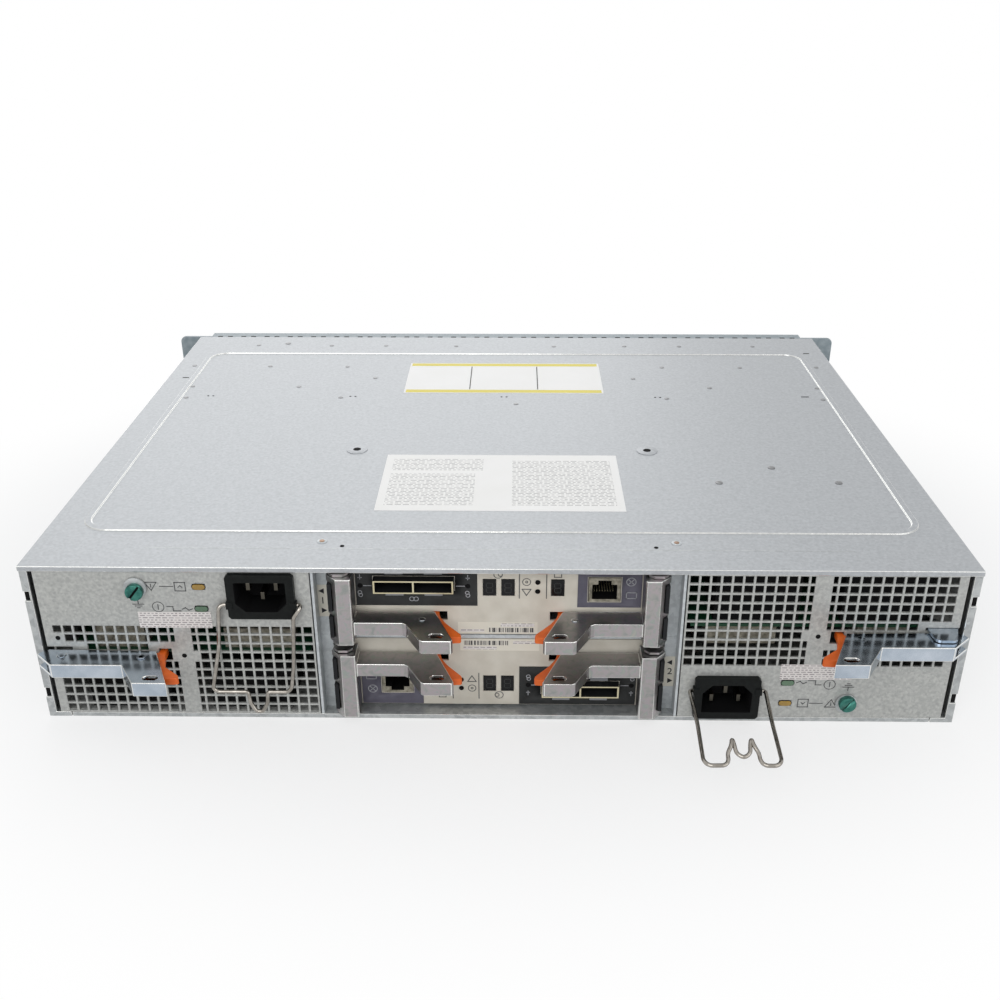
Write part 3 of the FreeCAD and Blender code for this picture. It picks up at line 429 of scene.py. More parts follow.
# ------------------------------------------------------------------ making pieces
def alone(piece):
    """Only this piece is selected, and it is active."""
    bpy.ops.object.select_all(action="DESELECT")
    piece.select_set(True)
    bpy.context.view_layer.objects.active = piece


def settle(piece, name, mat, edge=0.0):
    """The piece's place goes into its mesh, its edges are rounded and it takes its finish."""
    alone(piece)
    bpy.ops.object.transform_apply(location=True, rotation=True, scale=True)
    if edge:
        soft = piece.modifiers.new("edge", "BEVEL")
        soft.width = edge * MM
        soft.segments = 2
        soft.limit_method = "ANGLE"
        bpy.ops.object.modifier_apply(modifier=soft.name)
    bpy.ops.object.shade_smooth_by_angle(angle=math.radians(35))
    piece.name = name
    piece.data.materials.clear()
    piece.data.materials.append(mat)
    return piece


def block(name, xs, ys, zs, mat, edge=0.0):
    """A box between two corners."""
    spans = (xs, ys, zs)
    bpy.ops.mesh.primitive_cube_add(size=1.0, location=[sum(ends) / 2 * MM for ends in spans])
    piece = bpy.context.object
    piece.scale = [(ends[1] - ends[0]) * MM for ends in spans]
    return settle(piece, name, mat, edge)


def disc(name, centre, radius, depth, axis, mat, edge=0.0, sides=32):
    """A round piece centred on a point, along x, y or z."""
    lean = {"x": (0, math.pi / 2, 0), "y": (math.pi / 2, 0, 0), "z": (0, 0, 0)}[axis]
    bpy.ops.mesh.primitive_cylinder_add(vertices=sides, radius=radius * MM, depth=depth * MM,
                                        location=[c * MM for c in centre], rotation=lean)
    return settle(bpy.context.object, name, mat, edge)


INK_DEPTH = 0.1         # of a stroke, in millimetres
RING_FLATNESS = 0.15    # of a ring's depth, as a share of its line's width


def stroke(x0, z0, x1, z1, y, width):
    """One straight stroke of a printed sign on a face turned to the rear."""
    bpy.ops.mesh.primitive_cube_add(
        size=1.0, location=((x0 + x1) / 2 * MM, y * MM, (z0 + z1) / 2 * MM),
        rotation=(0, -math.atan2(z1 - z0, x1 - x0), 0))
    piece = bpy.context.object
    piece.scale = ((math.hypot(x1 - x0, z1 - z0) + width) * MM, INK_DEPTH * MM, width * MM)
    return settle(piece, "stroke", INK)


def ring(x, z, y, radius, width):
    """A printed ring on a face turned to the rear."""
    bpy.ops.mesh.primitive_torus_add(location=(x * MM, y * MM, z * MM),
                                     rotation=(math.pi / 2, 0, 0),
                                     major_radius=radius * MM, minor_radius=width / 2 * MM,
                                     major_segments=28, minor_segments=6)
    piece = bpy.context.object
    piece.scale.z = RING_FLATNESS
    return settle(piece, "ring", INK)


def path(points, y, width):
    """Strokes from point to point."""
    return [stroke(*a, *b, y, width) for a, b in zip(points, points[1:])]


def joined(name, pieces):
    """Several small pieces as one, each with its own finish."""
    bpy.ops.object.select_all(action="DESELECT")
    for piece in pieces:
        piece.select_set(True)
    bpy.context.view_layer.objects.active = pieces[0]
    if len(pieces) > 1:
        bpy.ops.object.join()
    pieces[0].name = name
    return pieces[0]


def gather(name, pieces, mat):
    """Several small pieces as one, all of one finish."""
    whole = joined(name, pieces)
    whole.data.materials.clear()
    whole.data.materials.append(mat)
    return whole


def cut(piece, tool):
    """The tool's shape is cut out of the piece, and the tool is removed."""
    hole = piece.modifiers.new("hole", "BOOLEAN")
    hole.object = tool
    hole.solver = "EXACT"
    alone(piece)
    bpy.ops.object.modifier_apply(modifier=hole.name)
    bpy.data.objects.remove(tool, do_unlink=True)


def copied(piece, name, matrix):
    """The piece again with its own mesh, moved by the matrix."""
    other = added(name, piece.data.copy())
    other.data.transform(matrix)
    return other


def rivet(name, centre, radius, depth, matrix):
    """A peened pin end on a lever's flat face, moved by the matrix."""
    first = disc("rivet", centre, radius, depth, "z", LEVER, 0.12)
    piece = copied(first, name, matrix)
    bpy.data.objects.remove(first, do_unlink=True)
    return piece


# A module's letter, and where it lies from the upright one of its pair.
MODULES = (("b", Matrix.Identity(4)), ("a", HALF_TURN))


def both(kind, pieces):
    """Each piece on the upright module of a pair, and its copy, turned round, on the other."""
    for piece in pieces:
        base = piece.name
        other = copied(piece, kind + "_a_" + base, HALF_TURN)
        piece.name = kind + "_b_" + base
        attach(piece, kind + "_b")
        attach(other, kind + "_a")


# ------------------------------------------------------------------ power module's face
def ground_screw():
    """Green screw with a slot whose floor is painted dark as shade, on a plain washer."""
    x, z = 170.0, 73.8
    washer = disc("ground_washer", (x, REAR + 0.7, z + 1.2), 5.4, 1.2, "y", SHEET, 0.3)
    head = disc("ground_screw", (x, REAR + 2.6, z), 4.2, 3.0, "y", GREEN, 0.5)
    slot = block("slot", (x - 6, x + 6), (REAR + 3.0, REAR + 5), (z - 0.55, z + 0.55), DARK)
    # a near-black plate of painted shade at the slot's floor
    floor = block("ground_slot", (x - 3.8, x + 3.8), (REAR + 2.9, REAR + 3.04),
                  (z - 0.52, z + 0.52), DARK)
    turned = Matrix.Translation((x * MM, 0, z * MM)) @ Matrix.Rotation(
        math.radians(52), 4, "Y") @ Matrix.Translation((-x * MM, 0, -z * MM))
    for piece in (slot, floor):
        piece.data.transform(turned)
    cut(head, slot)
    return [washer, head, floor]


def power_signs():
    """Fault and power signs, the lines from them to their lamps, and the earth sign."""
    y, w = REAR + 0.06, 0.42
    z, low = 75.4, 63.6
    marks = path([(165.6, z + 2.2), (160.0, z + 2.2), (162.8, z - 2.2), (165.6, z + 2.2)], y, w)
    marks += [stroke(162.8, z + 1.2, 162.8, z - 0.4, y, w)]
    marks += [stroke(158.6, z, 152.4, z, y, w)]
    marks += path([(151.6, z + 2.2), (146.6, z + 2.2), (146.6, z - 2.4), (151.6, z - 2.4),
                   (151.6, z + 2.2)], y, w)
    marks += path([(150.0, z - 0.4), (149.0, z + 0.5), (148.2, z - 0.5)], y, w)
    marks += [ring(160.8, low + 0.6, y, 2.7, w), stroke(160.8, low + 1.8, 160.8, low - 0.8, y, w)]
    marks += path([(156.6, low + 0.8), (153.8, low + 0.8), (153.8, low - 1.6),
                   (150.2, low - 1.6)], y, w)
    marks += path([(149.4, low - 0.6), (147.9, low + 0.2), (146.4, low - 1.2),
                   (144.6, low - 0.4)], y, w)
    x, z = 170.0, 65.6
    marks += [stroke(x - 2.6, z, x + 2.6, z, y, w), stroke(x, z, x, z + 2.0, y, w),
              stroke(x - 1.6, z - 1.0, x + 1.6, z - 1.0, y, w),
              stroke(x - 0.6, z - 2.0, x + 0.6, z - 2.0, y, w)]
    return gather("signs", marks, GREY_INK)


def power_face():
    """Ground screw, signs, lamps, label and pilot holes on each power module's rear plate."""
    pieces = ground_screw() + [power_signs()]
    xs = (138.7, 142.0)
    for name, z, mat in (("lamp_fault", 75.3, AMBER), ("lamp_power", 63.3, JADE)):
        lens = [block(name, xs, (REAR - 0.4, REAR + 0.5), (z - 1.4, z + 1.4), mat)]
        lens += [disc(name, (x, REAR + 0.06, z), 1.4, 0.92, "y", mat, 0.2) for x in xs]
        pieces.append(gather(name, lens, mat))
        rim = [disc("rim", (x, REAR + 0.02, z), 1.75, 0.16, "y", INK) for x in xs]
        rim.append(block("rim", xs, (REAR - 0.06, REAR + 0.1), (z - 1.75, z + 1.75), INK))
        pieces.append(gather(name + "_rim", rim, INK))
    pieces.append(block("label", (136.2, 171.0), (REAR, REAR + 0.12), (52.6, 61.4), SMALL_PRINT))
    # The pilot holes are flat dark discs of painted shade.
    for name, x, z in (("outer", 211.6, 46.3), ("middle", 151.8, 36.6)):
        pieces.append(disc("pilot_hole_" + name, (x, REAR + 0.03, z), 1.2, 0.1, "y", DARK))
    both("psu", pieces)


def lever_rivets():
    """Peened ends of the latches' rivets on both faces of the power modules' levers."""
    low, top = (corner[2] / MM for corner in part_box("psu_b_lever"))
    for kind, matrix in MODULES:
        for end, z in (("top", top - 0.15), ("low", low + 0.1)):
            piece = rivet("psu_%s_rivet_%s" % (kind, end), (169.9, REAR + 7.4, z), 2.1, 0.3, matrix)
            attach(piece, "psu_%s_lever" % kind)


# ------------------------------------------------------------------ wire bails
WIRE_RADIUS = 0.98
BEND_REACH = 2.4        # how far from a corner its bend starts


def bail(kind, bends):
    """Round bright wire through the inlet's lugs, with tight rounded bends."""
    x, y, z = INLET_X, REAR + 1.85, INLET_Z - 4.4
    points = [((x + dx) * MM, (y + dy) * MM, (z + dz) * MM) for dx, dy, dz in bends]
    data = bpy.data.meshes.new("bail")
    data.from_pydata(points, [(i, i + 1) for i in range(len(points) - 1)], [])
    wire = added("bail", data)
    alone(wire)
    bend = wire.modifiers.new("bends", "BEVEL")
    bend.affect = "VERTICES"
    bend.width = BEND_REACH * MM
    bend.segments = 5
    bpy.ops.object.modifier_apply(modifier=bend.name)
    bpy.ops.object.convert(target="CURVE")
    wire = bpy.context.object
    wire.data.bevel_depth = WIRE_RADIUS * MM
    wire.data.bevel_resolution = 3
    wire.data.use_fill_caps = True
    bpy.ops.object.convert(target="MESH")
    wire = bpy.context.object
    wire.name = "psu_%s_bail_wire" % kind
    if kind == "a":
        wire.data.transform(HALF_TURN)
    wire.data.materials.append(WIRE)
    bpy.ops.object.shade_smooth()
    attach(wire, "psu_%s_bail" % kind)
    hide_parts("psu_%s_bail" % kind)


# The wires' corners from one lug to the other, from the middle of the lugs.
HANGING = [(14.6, 0, 0), (18.4, 0, 0), (20.2, 1.0, -1), (22.2, 2.0, -23), (27.4, 2.6, -46),
           (25.4, 2.6, -48), (10.6, 2.6, -48), (9.8, 3.0, -54.4), (7.4, 3.2, -59.2),
           (4.2, 3.2, -59.2), (1.6, 3.0, -54.4), (1.0, 2.6, -48), (-8.8, 2.6, -48),
           (-10.9, 2.6, -45.6), (-12.9, 2.8, -33), (-15.2, 3.4, -5), (-18.4, 2.4, -0.6),
           (-18.4, 0, 0), (-14.6, 0, 0)]
LOWERED = [(14.6, 0, 0), (18.4, 0, 0), (17.2, 24, 1.8), (16.8, 47.6, 3.9), (14.6, 50.4, 4.2),
           (8.8, 50.4, 4.2), (7.0, 47.6, 3.6), (7.2, 44.4, 2.6), (5.0, 41.0, 0.2),
           (4.4, 37.6, -0.9), (3.6, 40.4, 0.6), (3.2, 44.2, 2.4), (0.0, 46.4, 3.2),
           (-3.2, 44.2, 2.4), (-3.6, 40.4, 0.6), (-4.4, 37.6, -0.9), (-5.0, 41.0, 0.2),
           (-7.2, 44.4, 2.6), (-7.0, 47.6, 3.6), (-8.8, 50.4, 4.2), (-16.2, 50.6, 4.2),
           (-18.4, 47.8, 3.9), (-17.8, 24, 1.8), (-18.4, 0, 0), (-14.6, 0, 0)]


# ------------------------------------------------------------------ link card's face
PANEL_DEPTH = 0.25


def card_panels():
    """Dark and lilac plates round the ports, with a window for each port."""
    ys, through = (CARD, CARD + PANEL_DEPTH), (CARD - 1, CARD + 1)
    dark = block("panel_link", (10.1, 68.0), ys, (60.7, 83.2), PANEL)
    cut(dark, block("window", (20.7, 59.9), through, (68.9, 77.0), DARK))
    lilac = block("panel_service", (-68.0, -37.6), ys, (60.2, 83.2), LILAC)
    cut(lilac, block("window", (-58.5, -42.2), through, (62.9, 77.0), DARK))
    return [dark, lilac]


def card_signs():
    """Printed signs, thin dividing lines and the lines from the ports to their lamps."""
    y, w = CARD + 0.06, 0.4
    dark = [stroke(x, 65.0, x, 80.0, y, 0.45) for x in (-9.9, -22.8)]
    dark += [ring(-13.3, 73.9, y, 1.9, w), ring(-13.3, 73.9, y, 0.5, w)]
    dark += path([(-15.4, 69.9), (-11.2, 69.9), (-13.3, 66.5), (-15.4, 69.9)], y, w)
    dark += [ring(0.2, 77.9, y, 2.0, w), ring(-0.9, 77.9, y, 1.0, w)]
    dark += path([(-26.4, 76.6), (-29.8, 76.6), (-29.8, 79.4), (-26.4, 79.4), (-26.4, 76.6)],
                 y, w)
    y += PANEL_DEPTH
    pale = [ring(-62.8, 74.4, y, 2.2, w), stroke(-64.2, 73.0, -61.4, 75.8, y, w),
            stroke(-64.2, 75.8, -61.4, 73.0, y, w)]
    pale += path([(-60.8, 65.3), (-65.6, 65.3), (-65.6, 68.5), (-60.8, 68.5), (-60.8, 65.3)],
                 y, w)
    pale += [stroke(60.6, 71.6, 64.2, 71.6, y, w), stroke(16.2, 71.6, 20.0, 71.6, y, w)]
    for x in (14.6, 65.8):
        pale += [ring(x, 66.4, y, 0.9, w), ring(x + 0.3, 67.9, y, 0.9, w),
                 stroke(x - 0.8, 76.0, x + 0.8, 76.0, y, w), stroke(x, 77.6, x, 75.2, y, w)]
    pale += [ring(39.4, 64.4, y, 1.1, w), ring(41.4, 64.4, y, 1.1, w)]
    return [gather("signs_dark", dark, GREY_INK), gather("signs_pale", pale, PALE_INK)]


def card_tags():
    """Small grey tags over and under the two ports."""
    tags = [block("tag", (x - 4.3, x + 4.3), (CARD + 0.2, CARD + 0.4), (z - 1.25, z + 1.25), TAG)
            for x in (31.0, 49.6) for z in (67.5, 79.2)]
    return [gather("tags", tags, TAG)]


def card_displays():
    """Three black display windows with a faint figure in each, and the small lamps."""
    windows = []
    strokes = []
    middle, y, w = 70.8, CARD + 0.28, 0.5
    for x in (4.3, -4.5, -28.1):
        windows.append(block("display", (x - 3.1, x + 3.1), (CARD - 0.6, CARD + PANEL_DEPTH),
                             (66.4, 75.3), GLASS, 0.15))
        for z in (middle - 2.6, middle, middle + 2.6):
            strokes.append(stroke(x - 1.2, z, x + 1.2, z, y, w))
        for side in (-1.5, 1.5):
            for z in (middle - 1.3, middle + 1.3):
                strokes.append(stroke(x + side, z - 0.7, x + side, z + 0.7, y, w))
    lamps = [disc("lamp", (x, CARD + 0.2, z), 1.25, 0.5, "y", DARK, 0.2)
             for x, z in ((65.8, 71.6), (14.6, 71.6), (-18.6, 73.8), (-18.6, 68.8))]
    return [gather("displays", windows, GLASS), gather("figures", strokes, PANEL),
            gather("lamps", lamps, DARK)]


def card_label():
    """Serial label: cream paper with small print and a strip of bars."""
    paper, print_ys = (CARD, CARD + 0.1), (CARD + 0.08, CARD + 0.16)
    return [block("label", (-18.8, 19.7), paper, (44.9, 51.4), CREAM),
            block("label_print", (-17.2, -1.0), print_ys, (48.9, 50.7), SMALL_PRINT),
            block("label_bars", (-16.8, 4.6), print_ys, (45.7, 48.2), CODE),
            block("label_number", (7.0, 18.4), print_ys, (45.9, 47.4), SMALL_PRINT)]


def service_jack():
    """Eight thin contacts at the back of the jack, 1.27 mm apart."""
    pins = [block("pin", (-55.0 + i * 1.27, -54.5 + i * 1.27), (CARD - 13, CARD - 4.5),
                  (66.4, 66.8), GOLD) for i in range(8)]
    return [gather("jack_contacts", pins, GOLD)]


def card_face():
    """Everything on each link card's face."""
    both("lcc", card_panels() + card_signs() + card_tags() + card_displays() + card_label()
         + service_jack())


def card_levers():
    """The cast levers' rivets, and dark blocks of painted shade for the hollows in the outer flanks
    of their uprights.
    """
    for kind, matrix in MODULES:
        for hand, side in (("left", 1), ("right", -1)):
            piece = rivet("lcc_%s_rivet_%s" % (kind, hand), (side * 36.1, REAR + 0.7, 58.55),
                          1.6, 0.34, matrix)
            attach(piece, "lcc_%s_lever_%s" % (kind, hand))
            xs = sorted((side * 77.8, side * 79.7))
            for level, zs in (("low", (49.4, 61.0)), ("high", (64.0, 78.6))):
                # a near-black block of painted shade for the hollow
                hollow = block("hollow", xs, (REAR - 4.0, REAR + 3.0), zs, RECESS_SHADE)
                hollow.data.transform(matrix)
                hollow.name = "lcc_%s_hollow_%s_%s" % (kind, level, hand)
                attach(hollow, "lcc_%s_lever_%s" % (kind, hand))


# ------------------------------------------------------------------ chassis
def bay_tags():
    """A plain tag with two arrows and a bay number on each bay's pillar."""
    for number, x, z in (("1", 84.2, 63.0), ("2", -84.2, 23.4)):
        tag = block("bay_tag_" + number, (x - 3.5, x + 3.5), (CARD, CARD + 0.15),
                    (z - 8.8, z + 8.8), CREAM)
        printed_y = (CARD + 0.18) * MM
        bpy.ops.object.text_add()
        figure = bpy.context.object
        figure.data.body = number
        figure.data.size = 5.2 * MM
        figure.data.align_x = "CENTER"
        figure.data.align_y = "CENTER"
        figure.data.extrude = 0.05 * MM
        bpy.ops.object.convert(target="MESH")
        figure = bpy.context.object
        figure.rotation_euler = (math.pi / 2, 0, math.pi)
        figure.location = (x * MM, printed_y, z * MM)
        figure = settle(figure, "bay_number_" + number, INK)
        arrows = []
        for up in (-1, 1):
            bpy.ops.mesh.primitive_cylinder_add(
                vertices=3, radius=1.7 * MM, depth=0.12 * MM,
                location=(x * MM, printed_y, (z + up * 5.4) * MM),
                rotation=(math.pi / 2, math.pi / 2 * up, 0))
            arrows.append(settle(bpy.context.object, "arrow", INK))
        arrows = gather("bay_arrows_" + number, arrows, INK)
        for piece in (tag, figure, arrows):
            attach(piece, "chassis")


# Labels on the cover: name, ends along X, ends behind the rear, ends above the cover, finish.
LABELS = (("cover_label_rating", (-64.2, 64.2), (57.8, 127.2), (0, 0.12), PAPER),
          ("cover_label_banded", (-64.2, 64.2), (224.5, 281.3), (0, 0.12), PAPER),
          ("cover_print_left", (14.0, 60.0), (64.0, 102.0), (0.1, 0.18), PRINT),
          ("cover_print_right", (-60.0, -6.0), (64.0, 120.0), (0.1, 0.18), PRINT),
          ("cover_print_rows", (10.0, 60.0), (106.0, 122.0), (0.1, 0.18), PRINT),
          ("cover_band_near", (-63.0, 63.0), (225.4, 230.2), (0.1, 0.2), YELLOW),
          ("cover_band_far", (-63.0, 63.0), (275.6, 280.4), (0.1, 0.2), YELLOW),
          ("cover_rule_-22", (-22.3, -21.7), (231.4, 274.4), (0.1, 0.18), INK),
          ("cover_rule_22", (21.7, 22.3), (231.4, 274.4), (0.1, 0.18), INK))


def cover_labels():
    """Bare rating label near the rear and a plain banded label near the front."""
    for name, xs, (near, far), (low, high), mat in LABELS:
        piece = block(name, xs, (REAR - far, REAR - near), (TOP + low, TOP + high), mat)
        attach(piece, "chassis")


# Marks in the cover: place along X and distance behind the rear, and each slot's width.
# Dimples, bumps, pilot holes and screws are on both sides.
DIMPLES = [(212, 275), (160, 274), (107, 274), (85.5, 252), (133.5, 235), (103.5, 216),
           (203, 235), (202, 215), (177, 319), (124.5, 318.5), (85.3, 318.7), (35, 318)]
LONE_DIMPLE = (-8, 206)
RIVETS = [(-116.7, 92.3), (-148.5, 111.7), (-180.5, 92.7), (156.7, 323)]
SMALL_HOLES = [(x, 218) for x in (188.6, 185.4, 97.6, 94.4, 1.2, -2.0, -96.4, -99.6)]
SLOTS = [(211.9, 251.5, 4.2), (-211.9, 304.2, 4.2), (-191.7, 219.8, 5.0)]
BUMP, PILOT, SCREW = (82.5, 134), (75.1, 20.1), (85.4, 24.7)


def cover_disc(place, rise, radius, depth, mat, edge, sides):
    """A round mark on the cover, its middle rise above the sheet."""
    x, back = place
    return disc("mark", (x, REAR - back, TOP + rise), radius, depth, "z", mat, edge, sides)


def cover_fixings():
    """Spot-weld dimples, rivets, screws and small slots in the cover. Holes and slots are dark
    marks of painted shade, and the raised rims round the screws are lighter as a painted highlight.
    """
    sides = (-1, 1)
    spots = [(side * x, back) for x, back in DIMPLES for side in sides] + [LONE_DIMPLE]
    dimples = [cover_disc(spot, 0.08, 1.6, 0.3, RIVET, 0.14, 16) for spot in spots]
    rivets = [cover_disc(spot, 0.12, 2.0, 0.4, RIVET, 0.18, 20) for spot in RIVETS]
    bumps, holes, rims, screws = [], [], [], []
    for side in sides:
        bump, pilot, screw = [(side * x, back) for x, back in (BUMP, PILOT, SCREW)]
        bumps.append(cover_disc(bump, 0.15, 6.0, 0.5, COVER, 0.22, 40))
        # holes and slots: dark discs and bars of painted shade
        holes.append(cover_disc(bump, 0.4, 2.2, 0.1, DARK, 0, 20))
        holes.append(cover_disc(pilot, 0.02, 1.1, 0.1, DARK, 0, 16))
        # the screws' rims take the lighter bay finish, a painted highlight
        rims.append(cover_disc(screw, 0.12, 2.5, 0.3, BAY, 0.12, 24))
        screws.append(cover_disc(screw, 0.25, 1.3, 0.5, COPPER, 0.2, 24))
    holes += [cover_disc(spot, 0.02, 0.7, 0.1, DARK, 0, 12) for spot in SMALL_HOLES]
    for x, back, wide in SLOTS:
        holes.append(block("slot", (x - wide / 2, x + wide / 2),
                           (REAR - back - 0.6, REAR - back + 0.6), (TOP - 0.05, TOP + 0.06), DARK))
    bend = block("cover_bend", (-169, 169), (REAR - 17.8, REAR - 17.2), (TOP - 0.05, TOP + 0.04),
                 SHEET)
    pieces = [gather(name, marks, mat) for name, marks, mat in (
        ("cover_dimples", dimples, RIVET), ("cover_rivets", rivets, RIVET),
        ("cover_bumps", bumps, COVER), ("cover_holes", holes, DARK),
        ("cover_screw_rims", rims, BAY), ("cover_screws", screws, COPPER))]
    for piece in pieces + [bend]:
        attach(piece, "chassis")


def flange_notches():
    """Dark blocks of painted shade behind the four square notches in the side panels' rear flanges.
    """
    half, rear = [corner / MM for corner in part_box("side_panel_right")[1][:2]]
    backs = []
    for side in (-1, 1):
        xs = sorted((side * (half - 2.8), side * (half - 0.3)))
        for zs in ((11.7, 16.9), (67.0, 71.9)):
            backs.append(block("notch", xs, (rear - 2.3, rear - 1.0), zs, DARK))
    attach(gather("flange_notches", backs, DARK), "chassis")


def trim_marks():
    """Pairs of short slots along the top of the front frame, as dark bars of painted shade."""
    face = TOP - 0.6
    slots = []
    for place in range(-MIDDLE_DRIVE, MIDDLE_DRIVE + 1):
        for shift in (-3.65, 3.65):
            x = place * PITCH + shift
            slots.append(block("slot", (x - 1.8, x + 1.8), (TRIM_FRONT + 7.6, TRIM_FRONT + 10.4),
                               (face - 0.1, face + 0.06), DARK))
    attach(gather("trim_slots", slots, DARK), "chassis")


# ------------------------------------------------------------------ drives
def drive_body():
    """The drive itself between its carrier's rails: metal sides, cover, screws, label, board."""
    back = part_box("drive_13")[1][1] / MM
    ys, zs = (back - 99.6, back - 0.8), (8.4, 78.0)
    metal = [block("side", (7.4, 7.65), ys, zs, DRIVE_METAL, 0.08),
             block("side", (-7.65, -7.4), ys, zs, DRIVE_METAL, 0.08),
             block("cover", (7.6, 7.9), (ys[0] + 3, ys[1] - 12), (11.4, 75.0), DRIVE_METAL, 0.12),
             disc("spindle", (7.95, back - 62, 43.2), 14, 0.3, "x", DRIVE_METAL, 0.12, 40),
             disc("hub", (8.05, back - 62, 43.2), 5, 0.3, "x", RIVET, 0.1, 24)]
    metal += [disc("screw", (7.95, y, z), 1.8, 0.3, "x", RIVET, 0.1, 12)
              for y in (ys[0] + 6, (ys[0] + ys[1]) / 2 - 4, ys[1] - 15) for z in (14.4, 72.0)]
    label = [block("drive_label", (7.85, 7.97), (back - 45, back - 16), (18.0, 68.4), PAPER),
             block("drive_bars", (7.95, 8.0), (back - 41, back - 20), (60.0, 64.6), GREY_INK)]
    label += [block("drive_row", (7.95, 8.0), (back - 41, back - short), (z, z + 1.1), GREY_INK)
              for z, short in ((54, 22), (50, 27), (46, 24), (42, 30))]
    board = [block("board", (-7.85, -7.6), (back - 46, back - 3), (10.6, 75.8), BOARD, 0.05),
             block("chip", (-8.15, -7.8), (back - 34, back - 20), (36, 50), DARK, 0.1),
             block("chip", (-8.1, -7.8), (back - 40, back - 31), (56, 68), DARK, 0.1)]
    return metal + label + board


def drive_fronts():
    """Each carrier's lamp windows, release button, pierced vent and drive, as one piece."""
    y = TRIM_FRONT
    firsts = [block("vent", (-6.4, 6.4), (y + 7.0, y + 7.6), (18.4, 61.8), CARRIER),
              block("button", (-2.7, 2.7), (y + 0.4, y + 1.4), (69.6, 73.6), CARRIER, 0.4),
              block("lamp_ready", (-6.4, -3.6), (y + 3.6, y + 4.2), (77.0, 79.8), JADE, 0.2),
              block("lamp_fault", (3.6, 6.4), (y + 3.6, y + 4.2), (77.0, 79.8), AMBER, 0.2)]
    # the vent's holes are dark squares of painted shade
    firsts += [block("hole", (x - 1.1, x + 1.1), (y + 6.94, y + 7.04), (z - 1.1, z + 1.1), DARK)
               for x in (-4.8, 4.8) for z in range(21, 61, 3)]
    first = joined("fittings", firsts + drive_body())
    for number in range(DRIVES):
        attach(copied(first, "drive_%02d_fittings" % (number + 1),
                       Matrix.Translation(((number - MIDDLE_DRIVE) * PITCH * MM, 0, 0))),
                "drive_%02d" % (number + 1))
    bpy.data.objects.remove(first, do_unlink=True)


power_face()
lever_rivets()
bail("b", HANGING)
bail("a", LOWERED)
card_face()
card_levers()
bay_tags()
cover_labels()
cover_fixings()
flange_notches()
trim_marks()
drive_fronts()


# ------------------------------------------------------------------ floor, lamps, world
FLOOR_DROP = 0.0002
LAMPS = (("lamp_key", (0.5, 1.5, 1.0), (0, 0.1, 0.04), 1.2, 10.0),
         ("lamp_fill", (-1.2, 1.1, 0.6), (0, 0, 0.04), 1.4, 6.0),
         ("lamp_front", (0.4, -1.6, 0.9), (0, 0, 0.04), 1.6, 9.0))


def mixed(tree, factor, first, second):
    """The first shader where factor is 0 and the second where it is 1."""
    blend = tree.nodes.new("ShaderNodeMixShader")
    wire_up(tree, (factor, blend.inputs["Fac"]), (first, blend.inputs[1]),
            (second, blend.inputs[2]))
    return blend.outputs["Shader"]


def seen(tree):
    """1 for what the camera, mirrors and glass see, and 0 for light that bounces."""
    path_kind = tree.nodes.new("ShaderNodeLightPath")
    first = tree.nodes.new("ShaderNodeMath")
    first.operation = "MAXIMUM"
    both_kinds = tree.nodes.new("ShaderNodeMath")
    both_kinds.operation = "MAXIMUM"
    wire_up(tree, (path_kind.outputs["Is Camera Ray"], first.inputs[0]),
            (path_kind.outputs["Is Glossy Ray"], first.inputs[1]),
            (first.outputs["Value"], both_kinds.inputs[0]),
            (path_kind.outputs["Is Transmission Ray"], both_kinds.inputs[1]))
    return both_kinds.outputs["Value"]


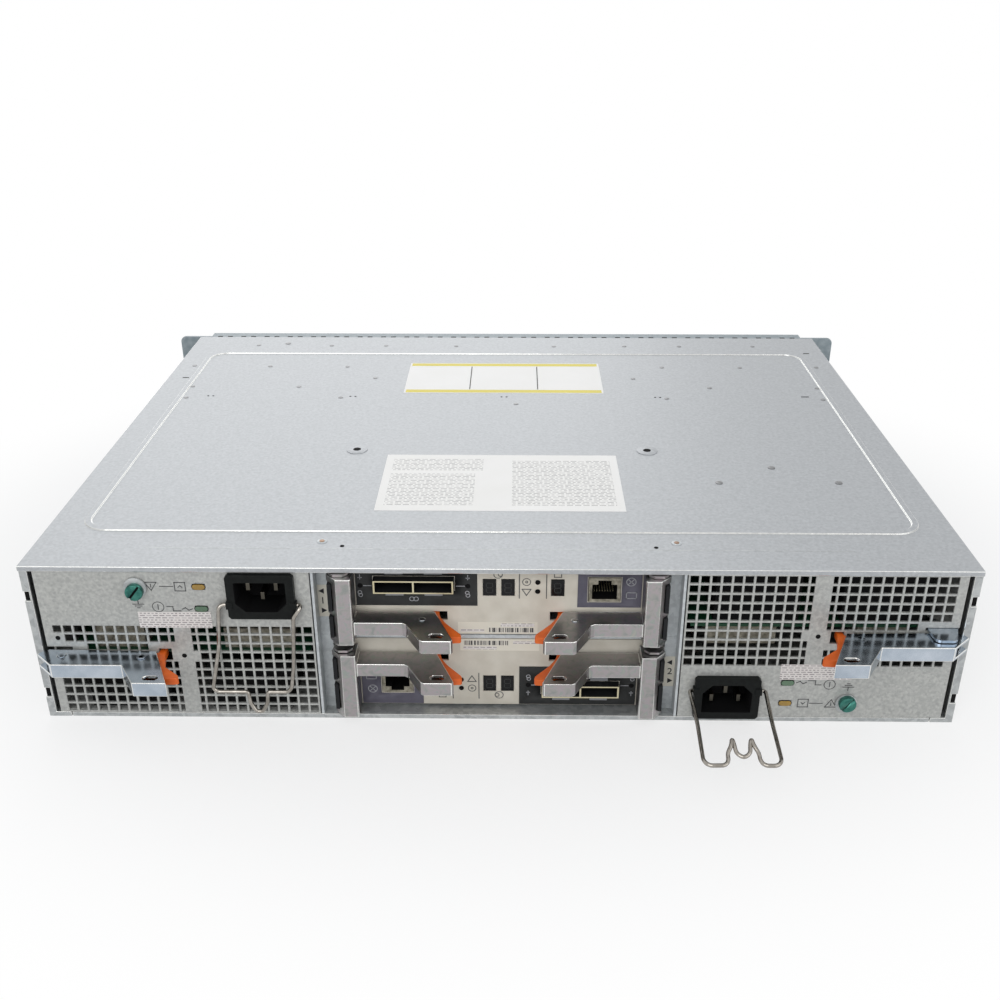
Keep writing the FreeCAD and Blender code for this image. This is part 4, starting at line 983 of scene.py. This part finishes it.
def floor_finish():
    """White that keeps the shadow near the object and turns even white further out."""
    mat = bpy.data.materials.new("floor_white")
    mat.use_nodes = True
    tree = mat.node_tree
    tree.nodes.clear()
    lit = tree.nodes.new("ShaderNodeBsdfDiffuse")
    lit.inputs["Color"].default_value = (0.97, 0.97, 0.97, 1)
    dull = tree.nodes.new("ShaderNodeBsdfDiffuse")
    dull.inputs["Color"].default_value = (0.6, 0.6, 0.6, 1)
    white = tree.nodes.new("ShaderNodeEmission")
    where = tree.nodes.new("ShaderNodeTexCoord")
    stretch = tree.nodes.new("ShaderNodeMapping")
    stretch.inputs["Scale"].default_value = (1.0, 1.25, 1.0)
    reach = tree.nodes.new("ShaderNodeVectorMath")
    reach.operation = "LENGTH"
    fade = tree.nodes.new("ShaderNodeMapRange")
    fade.interpolation_type = "SMOOTHSTEP"
    fade.inputs["From Min"].default_value = 0.24
    fade.inputs["From Max"].default_value = 0.46
    fade.inputs["To Min"].default_value = 0.6
    fade.inputs["To Max"].default_value = 1.0
    out = tree.nodes.new("ShaderNodeOutputMaterial")
    wire_up(tree, (where.outputs["Object"], stretch.inputs["Vector"]),
            (stretch.outputs["Vector"], reach.inputs[0]),
            (reach.outputs["Value"], fade.inputs["Value"]))
    shown = mixed(tree, fade.outputs["Result"], lit.outputs["BSDF"], white.outputs["Emission"])
    tree.links.new(mixed(tree, seen(tree), dull.outputs["BSDF"], shown), out.inputs["Surface"])
    return mat


def studio():
    """The floor, a white surround with dimmer light of its own, and three lamps."""
    bpy.ops.mesh.primitive_plane_add(size=12.0, location=(0, 0, -FLOOR_DROP))
    floor = bpy.context.object
    floor.name = "floor"
    floor.data.materials.append(floor_finish())

    world = bpy.data.worlds.new("studio")
    bpy.context.scene.world = world
    world.use_nodes = True
    tree = world.node_tree
    tree.nodes.clear()
    shown = tree.nodes.new("ShaderNodeBackground")
    shown.inputs["Color"].default_value = (1, 1, 1, 1)
    fill = tree.nodes.new("ShaderNodeBackground")
    fill.inputs["Strength"].default_value = 0.54
    fill.inputs["Color"].default_value = (0.96, 0.98, 1, 1)
    out = tree.nodes.new("ShaderNodeOutputWorld")
    tree.links.new(mixed(tree, seen(tree), fill.outputs["Background"],
                         shown.outputs["Background"]), out.inputs["Surface"])

    for name, place, aim, size, power in LAMPS:
        data = bpy.data.lights.new(name, "AREA")
        data.size = size
        data.energy = power
        lamp = added(name, data)
        lamp.location = place
        lamp.rotation_euler = (Vector(aim) - Vector(place)).to_track_quat("-Z", "Y").to_euler()


studio()
bpy.context.scene.view_settings.view_transform = "Standard"
